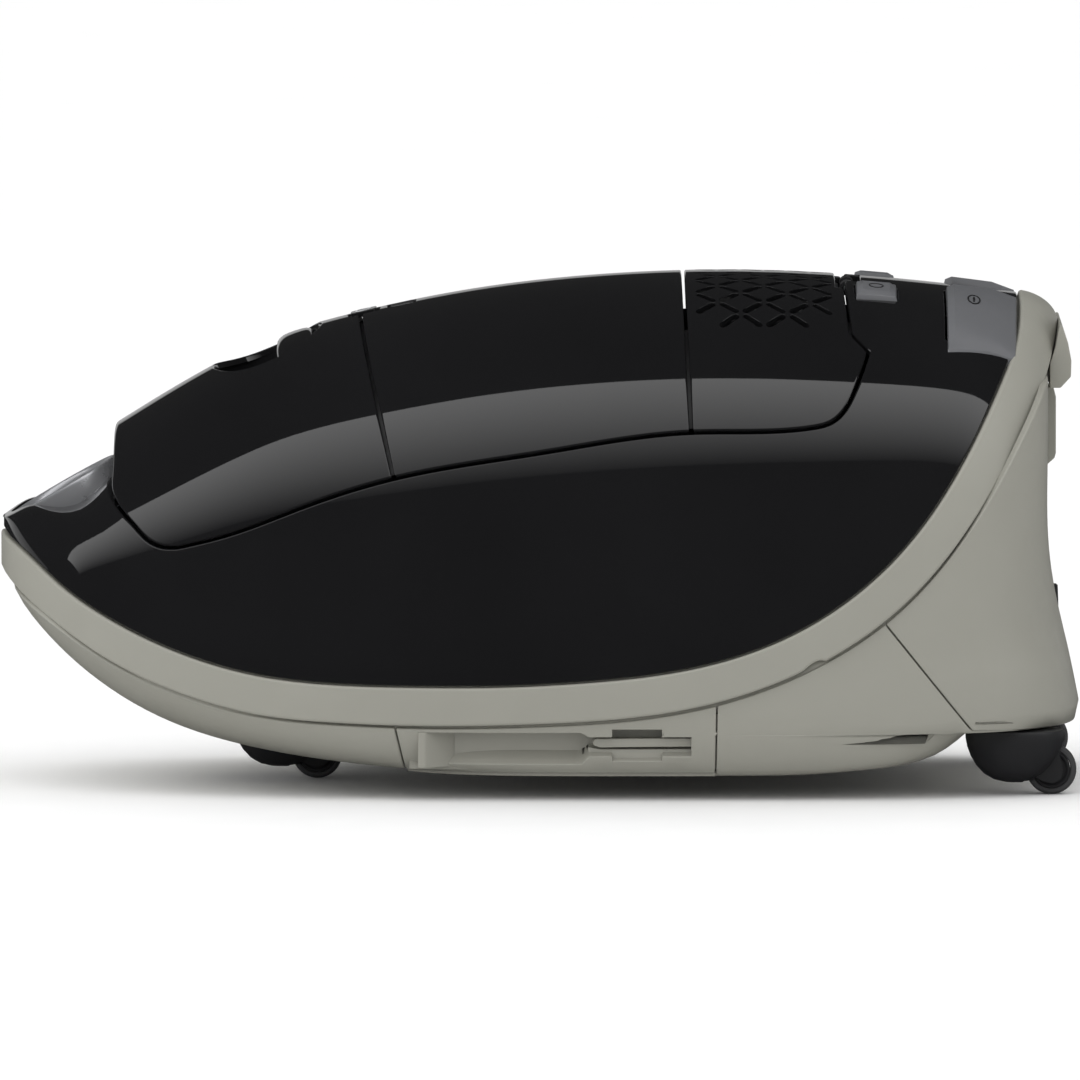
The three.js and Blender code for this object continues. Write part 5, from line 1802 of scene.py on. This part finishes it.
def area_light(name, place, target, size, power, color=(1, 1, 1)):
    """A soft rectangular lamp aimed at a point, itself unseen."""
    lamp = bpy.data.lights.new(name, "AREA")
    lamp.shape = "RECTANGLE"
    lamp.size, lamp.size_y = size
    lamp.energy = power
    lamp.color = color
    obj = bpy.data.objects.new(name, lamp)
    scene.collection.objects.link(obj)
    obj.location = place
    obj.rotation_euler = (Vector(target) - Vector(place)).to_track_quat("-Z", "Y").to_euler()
    obj.visible_camera = False
    return obj


area_light("key_softbox", (0.0, -1.4, 2.4), (0.0, 0.0, 0.12), (2.4, 1.2), 7).visible_glossy = False


def emission(name, build):
    """A light-giving material; build returns the socket that drives its strength."""
    material = bpy.data.materials.new(name)
    material.use_nodes = True
    tree = material.node_tree
    tree.nodes.clear()
    glow = tree.nodes.new("ShaderNodeEmission")
    out = tree.nodes.new("ShaderNodeOutputMaterial")
    tree.links.new(build(tree), glow.inputs["Strength"])
    tree.links.new(glow.outputs["Emission"], out.inputs["Surface"])
    return material


def tent_strip(name, radius, low, high, weak, strong):
    """A long strip of the studio's tent beside the object, seen only in reflections.

    It runs along the object between two elevations, in degrees from the near side, from weak to strong.
    """
    rows, reach = 12, 14.0
    points, faces = [], []
    for i in range(rows + 1):
        rise = math.radians(low + (high - low) * i / rows)
        for x in (-reach, reach):
            points.append((x, -radius * math.cos(rise), radius * math.sin(rise)))
    for i in range(rows):
        faces.append((2 * i, 2 * i + 1, 2 * i + 3, 2 * i + 2))
    strip = mesh_object(name, points, faces, scale=1.0)
    bottom, top = sorted(radius * math.sin(math.radians(a)) for a in (low, high))

    def build(tree):
        place = tree.nodes.new("ShaderNodeTexCoord")
        split = tree.nodes.new("ShaderNodeSeparateXYZ")
        tree.links.new(place.outputs["Object"], split.inputs["Vector"])
        return ramp(tree, split.outputs["Z"], weak, strong, bottom, top)

    strip.data.materials.append(emission(name, build))
    strip.visible_camera = False
    strip.visible_diffuse = False
    strip.visible_shadow = False
    return strip


tent_strip("tent_front", 3.0, 40.0, 75.0, 0.12, 2.4)
tent_strip("tent_back", 3.0, 171.0, 178.5, 0.55, 0.35)

CAMERA_TILT = math.radians(4.0)
CAMERA_DISTANCE = 12.0
FRAME_WIDTH = 0.50139  # width of the view at the object
SENSOR = 36.0  # millimetres
TARGET_HEIGHT = 0.1105
target = Vector((0, 0, TARGET_HEIGHT))
camera_data = bpy.data.cameras.new("camera")
camera = bpy.data.objects.new("camera", camera_data)
scene.collection.objects.link(camera)
camera.location = target + CAMERA_DISTANCE * Vector((0, -math.cos(CAMERA_TILT), math.sin(CAMERA_TILT)))
camera.rotation_euler = (math.pi / 2 - CAMERA_TILT, 0, 0)
camera_data.sensor_width = SENSOR
camera_data.lens = SENSOR * CAMERA_DISTANCE / FRAME_WIDTH
camera_data.clip_end = 60
scene.camera = camera
